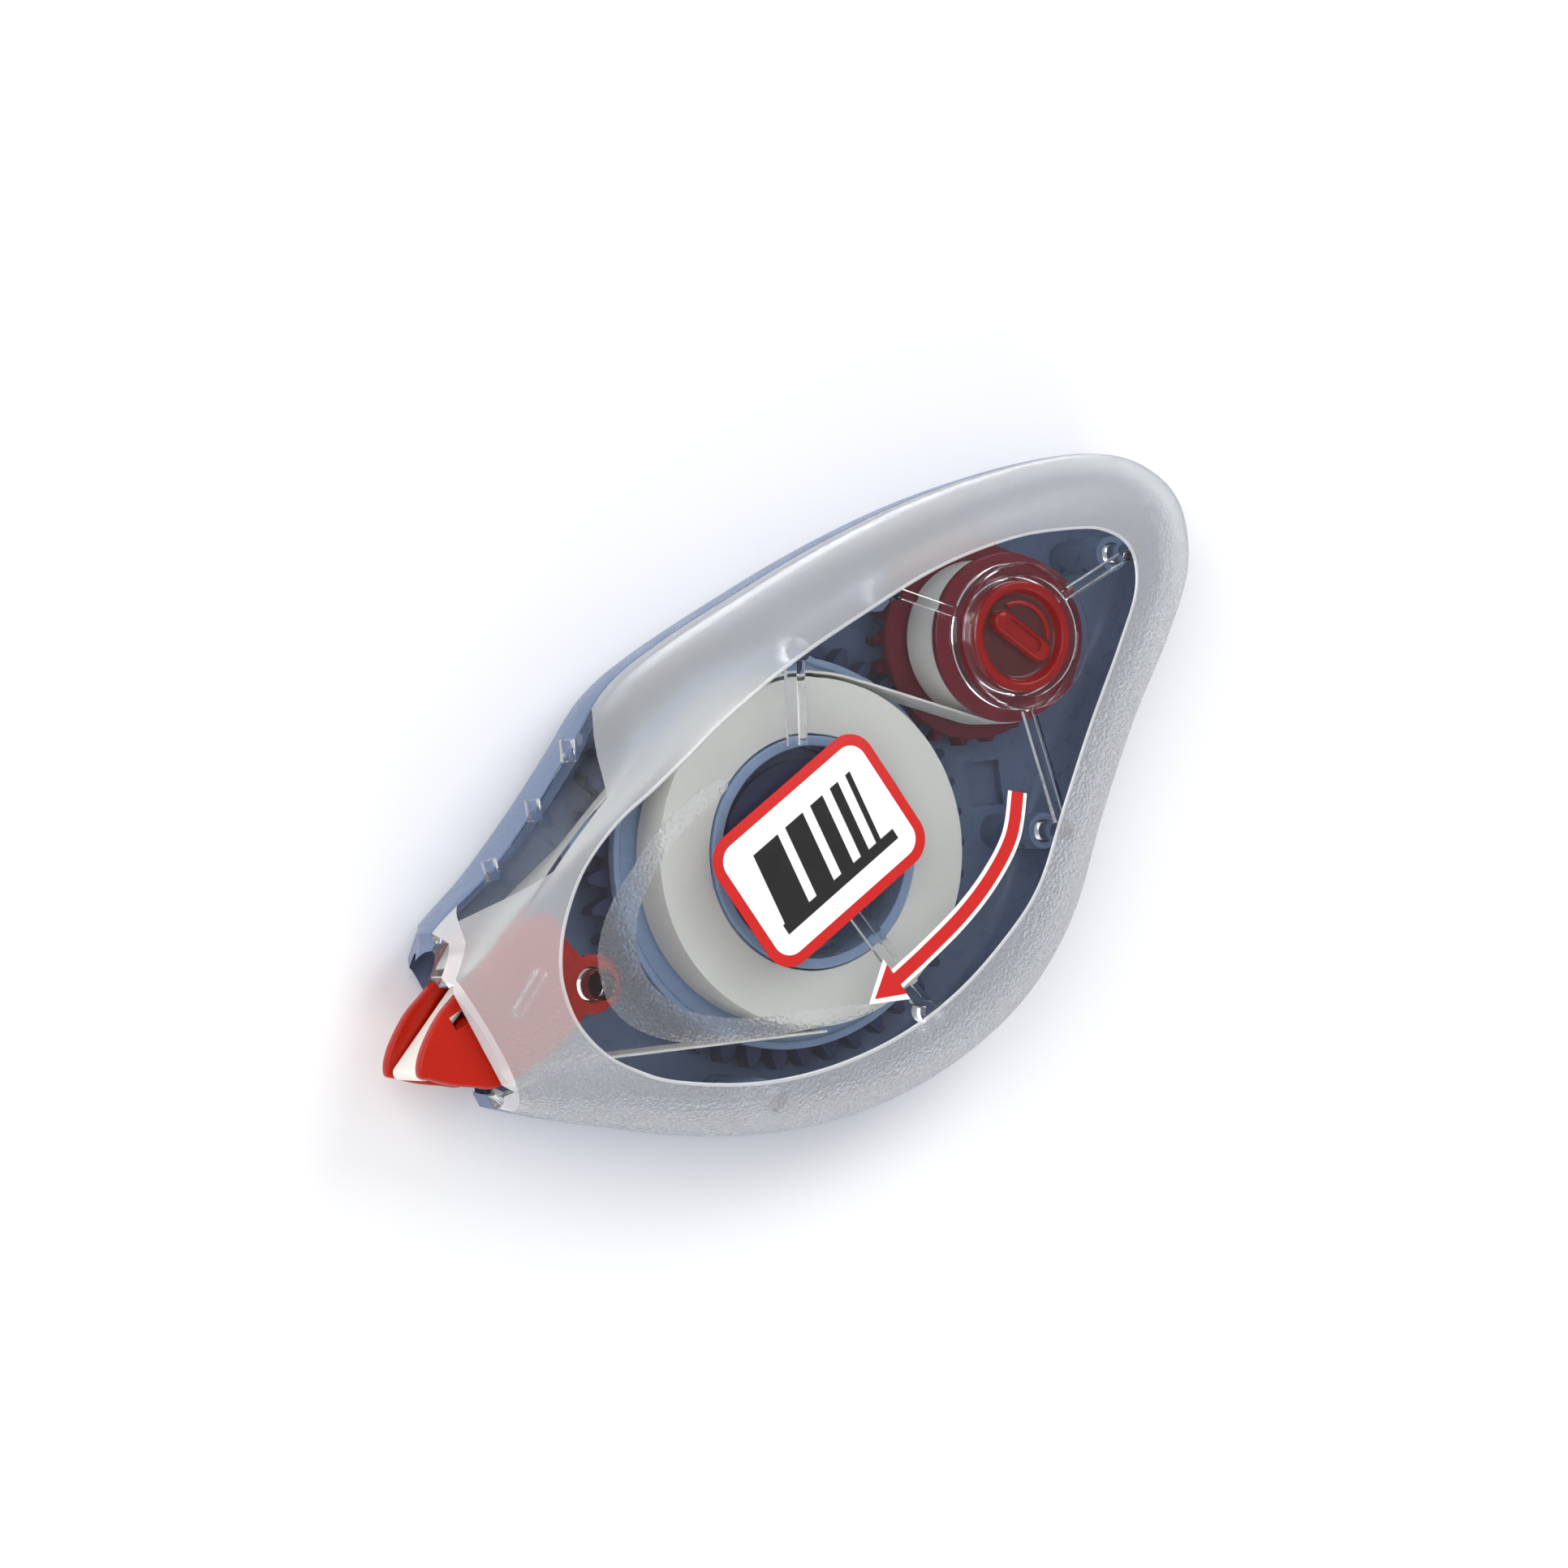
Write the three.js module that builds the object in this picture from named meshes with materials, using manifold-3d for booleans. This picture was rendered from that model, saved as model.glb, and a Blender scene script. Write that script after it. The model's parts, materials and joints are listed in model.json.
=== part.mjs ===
// Correction tape roller: a flat teardrop housing of two shells that holds a supply reel, a take-up
// reel geared to it, and a rocking tip that the tape runs around.
//
// Millimetres, +Z up. The roller lies on its flat back. The origin is on that back, on the supply
// reel's axis. -X points to the tip, +X to the rounded tail, +Y to the finger scallop.
import * as THREE from 'three';
import { mergeVertices } from 'three/addons/utils/BufferGeometryUtils.js';
import Module from 'manifold-3d';

const wasm = await Module();
wasm.setup();

// ---------------------------------------------------------------- driving dimensions

const HEIGHT = 13.4;            // back face to window face
const PARTING = 7.5;            // height where the two shells meet
const WALL = 1.25;              // wall of both shells
const BACK_INSET = 0.45;        // flat back's inset, as a share of the window's inset
const STEPS_PER_POINT = 2;      // outline samples between two control points

// The outline where the shells meet (x, y) and the edge of the flat window above it (x, y),
// counter-clockwise from the tail. Both run as closed curves through their points.
const OUTLINE = [
  [46.2, 6.2, 37.4, 6.4], [44.6, 10.6, 36.0, 9.0], [40.6, 13.8, 33.0, 10.9], [33.9, 16.5, 28.0, 13.0],
  [24.6, 18.9, 20.8, 14.6], [15.0, 20.3, 12.8, 15.1], [5.4, 20.9, 4.8, 15.2], [-3.2, 21.1, -2.8, 14.6],
  [-8.5, 20.5, -7.6, 13.8], [-13.2, 18.3, -11.4, 13.2], [-19.1, 15.6, -15.8, 12.6],
  [-25.2, 13.5, -20.4, 11.0], [-31.2, 12.4, -24.0, 8.4], [-35.2, 10.6, -26.2, 5.6],
  [-37.2, 6.6, -27.1, 3.2], [-37.4, 2.2, -27.3, 0.6], [-35.4, -1.4, -26.6, -2.2],
  [-32.0, -4.8, -25.2, -4.6], [-27.0, -9.0, -22.4, -7.7], [-20.0, -14.5, -16.6, -11.7],
  [-12.4, -18.7, -10.4, -14.4], [-4.4, -21.3, -3.6, -15.9], [3.9, -22.1, 3.0, -16.0],
  [11.6, -21.1, 9.4, -14.8], [18.6, -17.9, 15.0, -12.7], [25.6, -12.2, 20.6, -8.4],
  [32.5, -7.1, 26.4, -4.0], [39.4, -2.8, 32.4, 0.2], [44.2, 1.2, 36.2, 3.3],
];
const SCALLOP_START = 8.2;      // finger scallop, counted in control points
const SCALLOP_END = 12.4;
const SCALLOP_DEPTH = 0.7;      // 0 leaves the shoulder round, 1 makes it a full hollow
const SHOULDER_ANGLES = [0, 22, 44, 65, 90];   // degrees, from the parting line to the face
const SCALLOP_CREASE = 65;      // degrees, where the scallop's upper edge runs

// The housing ends at the nose in a flat face with a chamfered upper corner.
const NOSE_X = -34.4;
const NOSE_CORNER = [-34.2, 9.6];
const NOSE_CHAMFER_END = [-32.0, 11.4];
const NOSE_STRAIGHT = [5.2, 11.2];      // heights between which the nose's end stands upright
const NOSE_UNDERCUT = 3.4;              // how far the back shell's end slopes away below that
const NOSE_BEVEL = 1.6;                 // how far the cover's end slopes away above it

// Tape
const TAPE_WIDTH = 4.2;
const TAPE_Z = 5.2;             // lower edge of the tape
const TAPE_TOP = TAPE_Z + TAPE_WIDTH;
const WEB = 0.25;               // thickness a single run of tape is modelled with
const WEB_GAP = 0.3;            // gap that it keeps to the reels

// Gears
const GEAR_MODULE = 0.8;
const SUPPLY_TEETH = 43;
const TAKE_UP_TEETH = 20;
const PRESSURE_ANGLE = THREE.MathUtils.degToRad(20);
const TOOTH_RELIEF = 0.12;      // taken off each tooth's width so that the pair runs freely
const GEAR_Z = 1.9;
const GEAR_TOP = 3.7;
const FLANGE_Z = 4.1;
const FLANGE_TOP = 4.8;

const CENTRE_DISTANCE = GEAR_MODULE * (SUPPLY_TEETH + TAKE_UP_TEETH) / 2;
const CENTRE_ANGLE = THREE.MathUtils.degToRad(12.65);
const TAKE_UP_X = CENTRE_DISTANCE * Math.cos(CENTRE_ANGLE);
const TAKE_UP_Y = CENTRE_DISTANCE * Math.sin(CENTRE_ANGLE);

// Supply reel
const SUPPLY_POST_R = 3.0;
const RUNNING_GAP = 0.1;        // radial gap between a post and what turns on it
const PACK_R = 14.2;
const CORE_R = 9.6;
const CORE_WALL = 1.0;
const CORE_TOP = 9.7;
const SUPPLY_FLANGE_R = 16.2;
const SLEEVE_R = 5.0;           // gear sleeve inside the clutch ring
const SLEEVE_TOP = 9.4;
const CLUTCH_R = 6.0;

// Take-up reel
const TAKE_UP_POST_R = 1.8;
const TAKE_UP_CORE_R = 4.2;
const TAKE_UP_TAPE_R = 6.6;
const TAKE_UP_REAR_R = 8.3;
const TAKE_UP_FRONT_R = 7.0;
const KNOB_R = 4.55;
const KNOB_TOP = 13.0;
const KNOB_BAR_ANGLE = THREE.MathUtils.degToRad(-65);
const RING_INNER_R = 4.85;
const RING_OUTER_R = 6.05;
const RING_TOP = 13.7;

// Tip
const TIP_PIVOT = [-23.3, 2.1];
const TIP_EYE_R = 2.4;
const TIP_PIN_R = 1.3;
const BLADE = [-39.7, 3.75];    // the edge that the tape runs around
const BLADE_UPPER = THREE.MathUtils.degToRad(20);      // rise of the tape behind the edge, going in
const BLADE_LOWER = THREE.MathUtils.degToRad(-26.3);   // fall of the tape that feeds the edge
const CHEEK_THICKNESS = 1.0;
const CHEEK_GAP = 0.25;         // between the tape's edges and the cheeks
const REAR_CHEEK_Z = TAPE_Z - CHEEK_GAP - CHEEK_THICKNESS;
const FRONT_CHEEK_Z = TAPE_TOP + CHEEK_GAP;
const TAPE_GUIDE = [-24.7, 8.3];
const TAPE_GUIDE_R = 0.9;

const PEG_R = 0.75;
const SOCKET_R = 1.5;
const SOCKET_BORE_R = 0.95;
const SOCKET_TOP = 8.7;
const PEGS = [[37.9, 5.7], [20.1, -10.4], [16.6, 14.6], [-14.3, -14.5]];

// ---------------------------------------------------------------- materials

const plastic = (color, roughness, opacity = 1) => new THREE.MeshStandardMaterial({
  color, roughness, metalness: 0, opacity, transparent: opacity < 1, flatShading: true,
});
const MATERIALS = {
  clear: plastic(0xd8dde2, 0.25, 0.4),
  smokeBlue: plastic(0x58698c, 0.35),
  paleBlue: plastic(0x8ca5c8, 0.35),
  navy: plastic(0x3c4260, 0.4),
  red: plastic(0xbe2d16, 0.35),
  maroon: plastic(0x732841, 0.3),
  tape: plastic(0xe8e6de, 0.6),
  rubber: plastic(0x2a2a2c, 0.8),
  inkRed: plastic(0xc21a14, 0.5),
  inkWhite: plastic(0xf4f4f2, 0.5),
  inkBlack: plastic(0x1a1a1a, 0.5),
};

// ---------------------------------------------------------------- solids

// A closed three.js geometry as a manifold solid.
function solid(geometry) {
  geometry.deleteAttribute('normal');
  geometry.deleteAttribute('uv');
  const merged = mergeVertices(geometry, 1e-4);
  const corners = merged.index.array;
  const kept = [];
  for (let i = 0; i < corners.length; i += 3) {
    const [a, b, c] = [corners[i], corners[i + 1], corners[i + 2]];
    if (a !== b && b !== c && c !== a) kept.push(a, b, c);
  }
  return new wasm.Manifold(new wasm.Mesh({
    numProp: 3,
    vertProperties: new Float32Array(merged.attributes.position.array),
    triVerts: new Uint32Array(kept),
  }));
}

function toGeometry(body) {
  const mesh = body.getMesh();
  const geometry = new THREE.BufferGeometry();
  geometry.setAttribute('position', new THREE.BufferAttribute(mesh.vertProperties, 3));
  geometry.setIndex(new THREE.BufferAttribute(mesh.triVerts, 1));
  return geometry;
}

const join = (...bodies) => bodies.reduce((sum, body) => sum.add(body));
const cut = (body, ...tools) => tools.reduce((rest, tool) => rest.subtract(tool), body);

// The largest of the bodies that a cut leaves, without the crumbs beside it.
const main = (body) => body.decompose().sort((a, b) => b.volume() - a.volume())[0];

// A prism from a list of [x, y] points.
function prism(points, bottom, top) {
  const shape = new THREE.Shape(points.map(([x, y]) => new THREE.Vector2(x, y)));
  const geometry = new THREE.ExtrudeGeometry(shape, { depth: top - bottom, bevelEnabled: false });
  return solid(geometry.translate(0, 0, bottom));
}

// A body turned about the vertical line through (x, y), from a closed profile of [radius, z].
function turned(profile, x = 0, y = 0, segments = 32) {
  const points = [...profile, profile[0]].map(([r, z]) => new THREE.Vector2(r, z));
  const geometry = new THREE.LatheGeometry(points, segments);
  return solid(geometry.rotateX(Math.PI / 2).translate(x, y, 0));
}

const disc = (r, bottom, top, x = 0, y = 0, segments = 32) =>
  turned([[0, bottom], [r, bottom], [r, top], [0, top]], x, y, segments);

const tube = (outer, inner, bottom, top, x = 0, y = 0, segments = 32) =>
  turned([[inner, bottom], [outer, bottom], [outer, top], [inner, top]], x, y, segments);

// An upright wall from one plan point to another.
function wall([x0, y0], [x1, y1], thickness, bottom, top) {
  const length = Math.hypot(x1 - x0, y1 - y0);
  const [nx, ny] = [-(y1 - y0) / length * thickness / 2, (x1 - x0) / length * thickness / 2];
  return prism([[x0 - nx, y0 - ny], [x1 - nx, y1 - ny], [x1 + nx, y1 + ny], [x0 + nx, y0 + ny]], bottom, top);
}

// A smooth closed outline through a few control points.
const smooth = (points, samples) =>
  new THREE.CatmullRomCurve3(points.map(([x, y]) => new THREE.Vector3(x, y, 0)), true, 'catmullrom', 0.5)
    .getPoints(samples).slice(0, samples).map((p) => [p.x, p.y]);

const arc = (cx, cy, r, from, to, steps) => Array.from({ length: steps + 1 }, (_, i) => {
  const angle = from + (to - from) * i / steps;
  return [cx + r * Math.cos(angle), cy + r * Math.sin(angle)];
});

// A thin strip of tape standing on its edge along a path of [x, y] points.
function strip(path, thickness, bottom, top) {
  const side = (sign) => path.map(([x, y], i) => {
    const [ax, ay] = path[Math.max(i - 1, 0)];
    const [bx, by] = path[Math.min(i + 1, path.length - 1)];
    const length = Math.hypot(bx - ax, by - ay);
    const offset = sign * thickness / 2;
    return [x - (by - ay) / length * offset, y + (bx - ax) / length * offset];
  });
  return prism([...side(-1), ...side(1).reverse()], bottom, top);
}

// ---------------------------------------------------------------- shells

const SAMPLES = OUTLINE.length * STEPS_PER_POINT;
const rimPoints = smooth(OUTLINE.map(([x, y]) => [x, y]), SAMPLES);
const facePoints = smooth(OUTLINE.map(([, , x, y]) => [x, y]), SAMPLES);

// How deep the finger scallop is at a sample of the outline, 0 to 1.
function scallop(sample) {
  const along = (sample / STEPS_PER_POINT - SCALLOP_START) / (SCALLOP_END - SCALLOP_START);
  if (along <= 0 || along >= 1) return 0;
  return SCALLOP_DEPTH * Math.min(1, 1.7 * Math.sin(Math.PI * along));
}

// A point of a shoulder: `skin` in from the rim, `angle` of the way round from the rim to the flat.
function shoulderPoint(sample, angle, skin, share, rise, hollow) {
  const [rx, ry] = rimPoints[sample];
  const [fx, fy] = facePoints[sample];
  const span = Math.hypot(fx - rx, fy - ry);
  const reach = span * share - skin;
  const round = [reach * (1 - Math.cos(angle)), rise * Math.sin(angle)];
  const crease = THREE.MathUtils.degToRad(SCALLOP_CREASE);
  const depth = angle < crease ? scallop(sample) * hollow : 0;
  const turn = Math.PI / 2 * angle / crease;
  const scooped = [
    reach * (1 - Math.cos(crease)) * Math.sin(turn),
    rise * Math.sin(crease) * (1 - Math.cos(turn)),
  ];
  const inset = skin + round[0] + (scooped[0] - round[0]) * depth;
  const lift = round[1] + (scooped[1] - round[1]) * depth;
  return [rx + (fx - rx) / span * inset, ry + (fy - ry) / span * inset, lift];
}

// A closed body through rings of points, with flat ends. Rings run bottom to top.
function loft(rings) {
  const count = rings[0].length;
  const positions = rings.flat(2);
  const indices = [];
  for (let ring = 0; ring + 1 < rings.length; ring += 1) {
    for (let i = 0; i < count; i += 1) {
      const [a, b] = [ring * count + i, ring * count + (i + 1) % count];
      indices.push(a, b, b + count, a, b + count, a + count);
    }
  }
  const lid = (ring) => THREE.ShapeUtils.triangulateShape(
    rings[ring].map(([x, y]) => new THREE.Vector2(x, y)), []);
  const last = (rings.length - 1) * count;
  lid(0).forEach(([a, b, c]) => indices.push(a, c, b));
  lid(rings.length - 1).forEach(([a, b, c]) => indices.push(last + a, last + b, last + c));
  const geometry = new THREE.BufferGeometry();
  geometry.setAttribute('position', new THREE.Float32BufferAttribute(positions, 3));
  geometry.setIndex(indices);
  return solid(geometry);
}

// The outer (skin 0) or inner surface of a shell as a solid; `side` is +1 for the front, -1 for the back.
function shellVolume(side, skin, overrun) {
  const share = side > 0 ? 1 : BACK_INSET;
  const rise = (side > 0 ? HEIGHT - PARTING : PARTING) - skin;
  const ring = (degrees, extra = 0) => rimPoints.map((_, i) => {
    const angle = THREE.MathUtils.degToRad(degrees);
    const [x, y, lift] = shoulderPoint(i, angle, skin, share, rise, side > 0 ? 1 : 0);
    return [x, y, PARTING + side * (lift - extra)];
  });
  const rings = SHOULDER_ANGLES.map((degrees) => ring(degrees));
  if (overrun > 0) rings.unshift(ring(0, overrun));
  return loft(side > 0 ? rings : rings.reverse());
}

const hollowShell = (side) => cut(shellVolume(side, 0, 0), shellVolume(side, WALL, 1));

// What is cut away so that both shells end at the nose. The end slopes in at the back and at the window.
function noseCutter() {
  const [cornerX, cornerY] = NOSE_CORNER;
  const [endX, endY] = NOSE_CHAMFER_END;
  const ring = (shift, z) => [
    [-46, -12], [NOSE_X + shift, -12], [NOSE_X + shift, 0], [cornerX + shift, cornerY],
    [endX + shift, endY], [endX + shift + 1, endY + 4], [-46, 20],
  ].map(([x, y]) => [x, y, z]);
  const [low, high] = NOSE_STRAIGHT;
  return loft([
    ring(NOSE_UNDERCUT * 1.2, -0.2 * low), ring(0, low), ring(0, high), ring(NOSE_BEVEL, HEIGHT + 0.5),
  ]);
}

// The gap in the nose that the tip rocks in: wide where the cheeks are, narrow where the tape runs.
function mouthCutter() {
  const box = (y0, y1, bottom, top) => prism([[-42, y0], [-31, y0], [-31, y1], [-42, y1]], bottom, top);
  const slack = 0.5;
  return join(
    box(-1.3, 8.7, REAR_CHEEK_Z - slack, TAPE_Z + 0.1),
    box(0.2, 6.9, TAPE_Z, TAPE_TOP),
    box(-1.3, 8.7, TAPE_TOP - 0.1, FRONT_CHEEK_Z + CHEEK_THICKNESS + slack),
  );
}

function backShell() {
  const post = disc(SUPPLY_POST_R, 1, 11);
  const postBore = disc(1.6, 3, 11.5);
  const takeUpPost = disc(TAKE_UP_POST_R, 1, 9.2, TAKE_UP_X, TAKE_UP_Y, 24);
  const bearing = disc(4.2, 1, 1.7);
  const takeUpBearing = disc(3.2, 1, 1.7, TAKE_UP_X, TAKE_UP_Y);
  const sockets = PEGS.map(([x, y]) => tube(SOCKET_R, SOCKET_BORE_R, 1, SOCKET_TOP, x, y, 16));
  const tipBoss = tube(2.5, TIP_PIN_R + 0.15, 1, REAR_CHEEK_Z - 0.3, ...TIP_PIVOT, 24);
  const body = join(hollowShell(-1), post, takeUpPost, bearing, takeUpBearing, tipBoss, ...sockets);
  const coreWell = prism([[20.6, -4.0], [23.4, -5.4], [22.0, -8.9], [19.2, -7.5]], -1, 1.6);
  return main(cut(body, postBore, coreWell, noseCutter(), mouthCutter()));
}

// Small bars across the parting edge of the scallop, where a finger holds the roller.
function gripBars() {
  const spots = [[-14.2, 17.9, 0.5], [-19.3, 15.5, 0.42], [-25.0, 13.5, 0.3]];
  return spots.map(([x, y, lean]) => wall(
    [x + 1.1 * lean, y + 1.1], [x - 0.5 * lean, y - 0.5], 1.1, PARTING, PARTING + 1.1));
}

function frontCover() {
  const under = HEIGHT - WALL;
  const ribBottom = TAPE_TOP + 0.6;
  const rib = (from, to, bottom = ribBottom) => wall(from, to, 0.8, bottom, under + 0.4);
  const ringHead = tube(RING_OUTER_R, RING_INNER_R, 10.85, RING_TOP, TAKE_UP_X, TAKE_UP_Y);
  const ringHole = disc(RING_INNER_R, 10, HEIGHT + 1, TAKE_UP_X, TAKE_UP_Y);
  const pegs = PEGS.map(([x, y]) => disc(PEG_R, 5, under + 0.4, x, y, 12));
  const ribEnds = [[1.5, -16.2], [6.2, 15.2]].map(([x, y]) => disc(0.95, ribBottom, under + 0.4, x, y, 12));
  const axlePin = disc(1.45, 8, under + 0.4, 0, 0, 16);
  const tipPin = disc(TIP_PIN_R, 1.5, under + 0.4, ...TIP_PIVOT, 24);
  const body = join(
    hollowShell(1), ringHead, axlePin, tipPin, ...pegs, ...ribEnds, ...gripBars(),
    rib([-0.3, -3.7], [1.5, -16.2]), rib([2.4, 8.6], [6.2, 15.2]),
    rib([30.2, 6.0], [37.9, 5.7], 11), rib([22.4, -0.2], [20.1, -10.4], 11), rib([20.9, 9.9], [16.6, 14.6], 11),
    rib([-27.0, 5.6], [-30.6, 3.9], 11.1),
  );
  return main(cut(body, ringHole, noseCutter(), mouthCutter()));
}

// ---------------------------------------------------------------- gears

// An involute gear outline with the first tooth centred on `start`.
function gearOutline(teeth, start) {
  const pitch = GEAR_MODULE * teeth / 2;
  const base = pitch * Math.cos(PRESSURE_ANGLE);
  const tipR = pitch + GEAR_MODULE;
  const rootR = pitch - 1.25 * GEAR_MODULE;
  const involute = (r) => {
    const t = Math.sqrt(Math.max((r / base) ** 2 - 1, 0));
    return t - Math.atan(t);
  };
  const halfTooth = Math.PI / (2 * teeth) - TOOTH_RELIEF / (2 * pitch) + involute(pitch);
  const footR = Math.max(base, rootR);
  const flank = [footR, (footR + tipR) / 2, tipR].map((r) => [r, halfTooth - involute(r)]);
  const footAngle = halfTooth - involute(footR);
  const points = [];
  for (let tooth = 0; tooth < teeth; tooth += 1) {
    const centre = start + 2 * Math.PI * tooth / teeth;
    const add = (r, angle) => points.push([r * Math.cos(centre + angle), r * Math.sin(centre + angle)]);
    if (rootR < base) add(rootR, -footAngle);
    flank.forEach(([r, angle]) => add(r, -angle));
    [...flank].reverse().forEach(([r, angle]) => add(r, angle));
    if (rootR < base) add(rootR, footAngle);
  }
  return points;
}

const move = (points, dx, dy) => points.map(([x, y]) => [x + dx, y + dy]);

function supplyGear() {
  const teeth = prism(gearOutline(SUPPLY_TEETH, CENTRE_ANGLE), GEAR_Z, GEAR_TOP);
  const sleeve = disc(SLEEVE_R, GEAR_Z, SLEEVE_TOP);
  const windows = Array.from({ length: 6 }, (_, i) => {
    const angle = Math.PI / 3 * i;
    return disc(2.4, 1, 5, 10.6 * Math.cos(angle), 10.6 * Math.sin(angle), 12);
  });
  return cut(join(teeth, sleeve), disc(SUPPLY_POST_R + RUNNING_GAP, 1, 11), ...windows);
}

function supplyCore() {
  const flange = tube(SUPPLY_FLANGE_R, CLUTCH_R + 0.2, FLANGE_Z, FLANGE_TOP, 0, 0, 48);
  const rim = tube(SUPPLY_FLANGE_R, SUPPLY_FLANGE_R - 0.6, FLANGE_Z, FLANGE_TOP + 0.3, 0, 0, 48);
  const hub = tube(CORE_R - 0.15, CORE_R - CORE_WALL, FLANGE_Z, CORE_TOP);
  const clutchSeat = tube(CLUTCH_R + 1.0, CLUTCH_R + 0.2, FLANGE_Z, 7.2);
  return join(flange, rim, hub, clutchSeat);
}

const clutchRing = () => turned(
  arc((SLEEVE_R + CLUTCH_R) / 2 + 0.1, 6, 0.45, 0, 2 * Math.PI * 7 / 8, 7), 0, 0, 24);

const coreRetainer = () => tube(CLUTCH_R + 1.6, SLEEVE_R + RUNNING_GAP, 7.5, 8.2);

const tapePack = () => tube(PACK_R, CORE_R, TAPE_Z, TAPE_TOP, 0, 0, 48);

function takeUpGear() {
  const outline = gearOutline(TAKE_UP_TEETH, CENTRE_ANGLE + Math.PI + Math.PI / TAKE_UP_TEETH);
  const teeth = prism(move(outline, TAKE_UP_X, TAKE_UP_Y), GEAR_Z, GEAR_TOP);
  const neck = disc(TAKE_UP_CORE_R, GEAR_Z, 9.6, TAKE_UP_X, TAKE_UP_Y);
  const flange = disc(TAKE_UP_REAR_R, FLANGE_Z, FLANGE_TOP, TAKE_UP_X, TAKE_UP_Y);
  const bore = disc(TAKE_UP_POST_R + RUNNING_GAP, 1, 9.3, TAKE_UP_X, TAKE_UP_Y, 24);
  const stemSeat = disc(2.5, 9.2, 10, TAKE_UP_X, TAKE_UP_Y, 24);
  return cut(join(teeth, neck, flange), bore, stemSeat);
}

const takeUpTape = () => tube(TAKE_UP_TAPE_R, TAKE_UP_CORE_R + 0.15, TAPE_Z, TAPE_TOP, TAKE_UP_X, TAKE_UP_Y);

const takeUpFlange = () => turned([
  [2.6, 9.75], [TAKE_UP_FRONT_R, 9.75], [TAKE_UP_FRONT_R, 10.25], [TAKE_UP_FRONT_R - 0.3, 10.5], [2.6, 10.5],
], TAKE_UP_X, TAKE_UP_Y);

// The knob: a cup with a raised bar across it, on a stem that seats in the reel.
function tensionKnob() {
  const cup = turned([
    [0, 9.5], [2.35, 9.5], [2.35, 10.7], [KNOB_R, 10.7], [KNOB_R, KNOB_TOP - 0.4], [KNOB_R - 0.25, KNOB_TOP - 0.1],
    [KNOB_R - 0.75, KNOB_TOP - 0.1], [KNOB_R - 1.0, 11.9], [0, 11.9],
  ], TAKE_UP_X, TAKE_UP_Y);
  const [c, s] = [Math.cos(KNOB_BAR_ANGLE), Math.sin(KNOB_BAR_ANGLE)];
  const [half, r] = [2.1, 0.95];
  const ends = [
    ...arc(half, 0, r, -Math.PI / 2, Math.PI / 2, 8), ...arc(-half, 0, r, Math.PI / 2, 3 * Math.PI / 2, 8),
  ];
  const bar = prism(ends.map(([x, y]) => [TAKE_UP_X + x * c - y * s, TAKE_UP_Y + x * s + y * c]), 11.7, KNOB_TOP);
  return join(cup, bar);
}

// ---------------------------------------------------------------- tip and tape runs

const along = ([x, y], angle, distance) => [x + distance * Math.cos(angle), y + distance * Math.sin(angle)];

// Side plate of the tip: a curved wing outside the nose and an arm back to the pivot eye inside it.
function cheekOutline() {
  const eye = arc(...TIP_PIVOT, TIP_EYE_R, Math.PI * 0.45, -Math.PI * 0.75, 14);
  return [
    [-39.2, 3.3], [-39.8, 3.9], [-39.5, 4.7], [-38.6, 5.6], [-37.2, 6.5], [-35.6, 7.25], [-33.9, 7.7],
    [-30.4, 8.6], [-26.6, 9.4], [-24.4, 9.2], [-23.2, 8.2], [-23.4, 6.4], ...eye,
    [-26.4, 0.0], [-30.2, -0.5], [-34.4, -0.4], [-36.2, 0.7], [-38.0, 2.1],
  ];
}

function tipHead() {
  const top = FRONT_CHEEK_Z + CHEEK_THICKNESS;
  const outline = cheekOutline();
  const cheeks = [REAR_CHEEK_Z, FRONT_CHEEK_Z].map((z) => prism(outline, z, z + CHEEK_THICKNESS));
  const upper = (distance) => along([BLADE[0] + 0.45, BLADE[1]], BLADE_UPPER, distance);
  const lower = (distance) => along([BLADE[0] + 0.45, BLADE[1]], BLADE_LOWER, distance);
  const spine = prism([
    upper(0.2), lower(0.2), lower(5.2), [-30.4, 1.2], [-26.0, 0.6], [-24.0, 0.4], [-23.3, 4.3], [-26.0, 4.6],
    [-30.4, 5.4], upper(5.4),
  ], REAR_CHEEK_Z + 0.2, top - 0.2);
  const guide = disc(TAPE_GUIDE_R, REAR_CHEEK_Z + 0.2, top - 0.2, ...TAPE_GUIDE, 20);
  const eye = disc(TIP_EYE_R - 0.1, REAR_CHEEK_Z + 0.2, top - 0.2, ...TIP_PIVOT, 24);
  const bore = disc(TIP_PIN_R + 0.1, 0, HEIGHT, ...TIP_PIVOT, 24);
  const notch = prism([[-35.3, 5.4], [-33.4, 5.4], [-33.4, 6.6], [-35.3, 6.6]], FRONT_CHEEK_Z - 0.1, top + 1);
  return cut(join(...cheeks, spine, guide, eye), bore, notch);
}

// The tape's line over the blade: in along the lower face, round the edge, out along the upper face.
function tipTape() {
  const clear = 0.12 + WEB / 2;
  const centre = [BLADE[0] + 0.75, BLADE[1]];
  const r = 0.25 + clear;
  const bend = arc(...centre, r, BLADE_LOWER - Math.PI / 2, BLADE_UPPER - 3 * Math.PI / 2, 8);
  const run = 8.2;
  return strip([
    along(bend[0], BLADE_LOWER, run), ...bend, along(bend[bend.length - 1], BLADE_UPPER, run),
  ], WEB, TAPE_Z, TAPE_TOP);
}

// Where a straight run leaves a circle. `side` is +1 when the circle lies left of the run.
function tangentPoint([px, py], [cx, cy], r, side) {
  const distance = Math.hypot(cx - px, cy - py);
  const heading = Math.atan2(cy - py, cx - px) - side * Math.asin(r / distance);
  const reach = Math.sqrt(distance ** 2 - r ** 2);
  return [px + reach * Math.cos(heading), py + reach * Math.sin(heading)];
}

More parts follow.
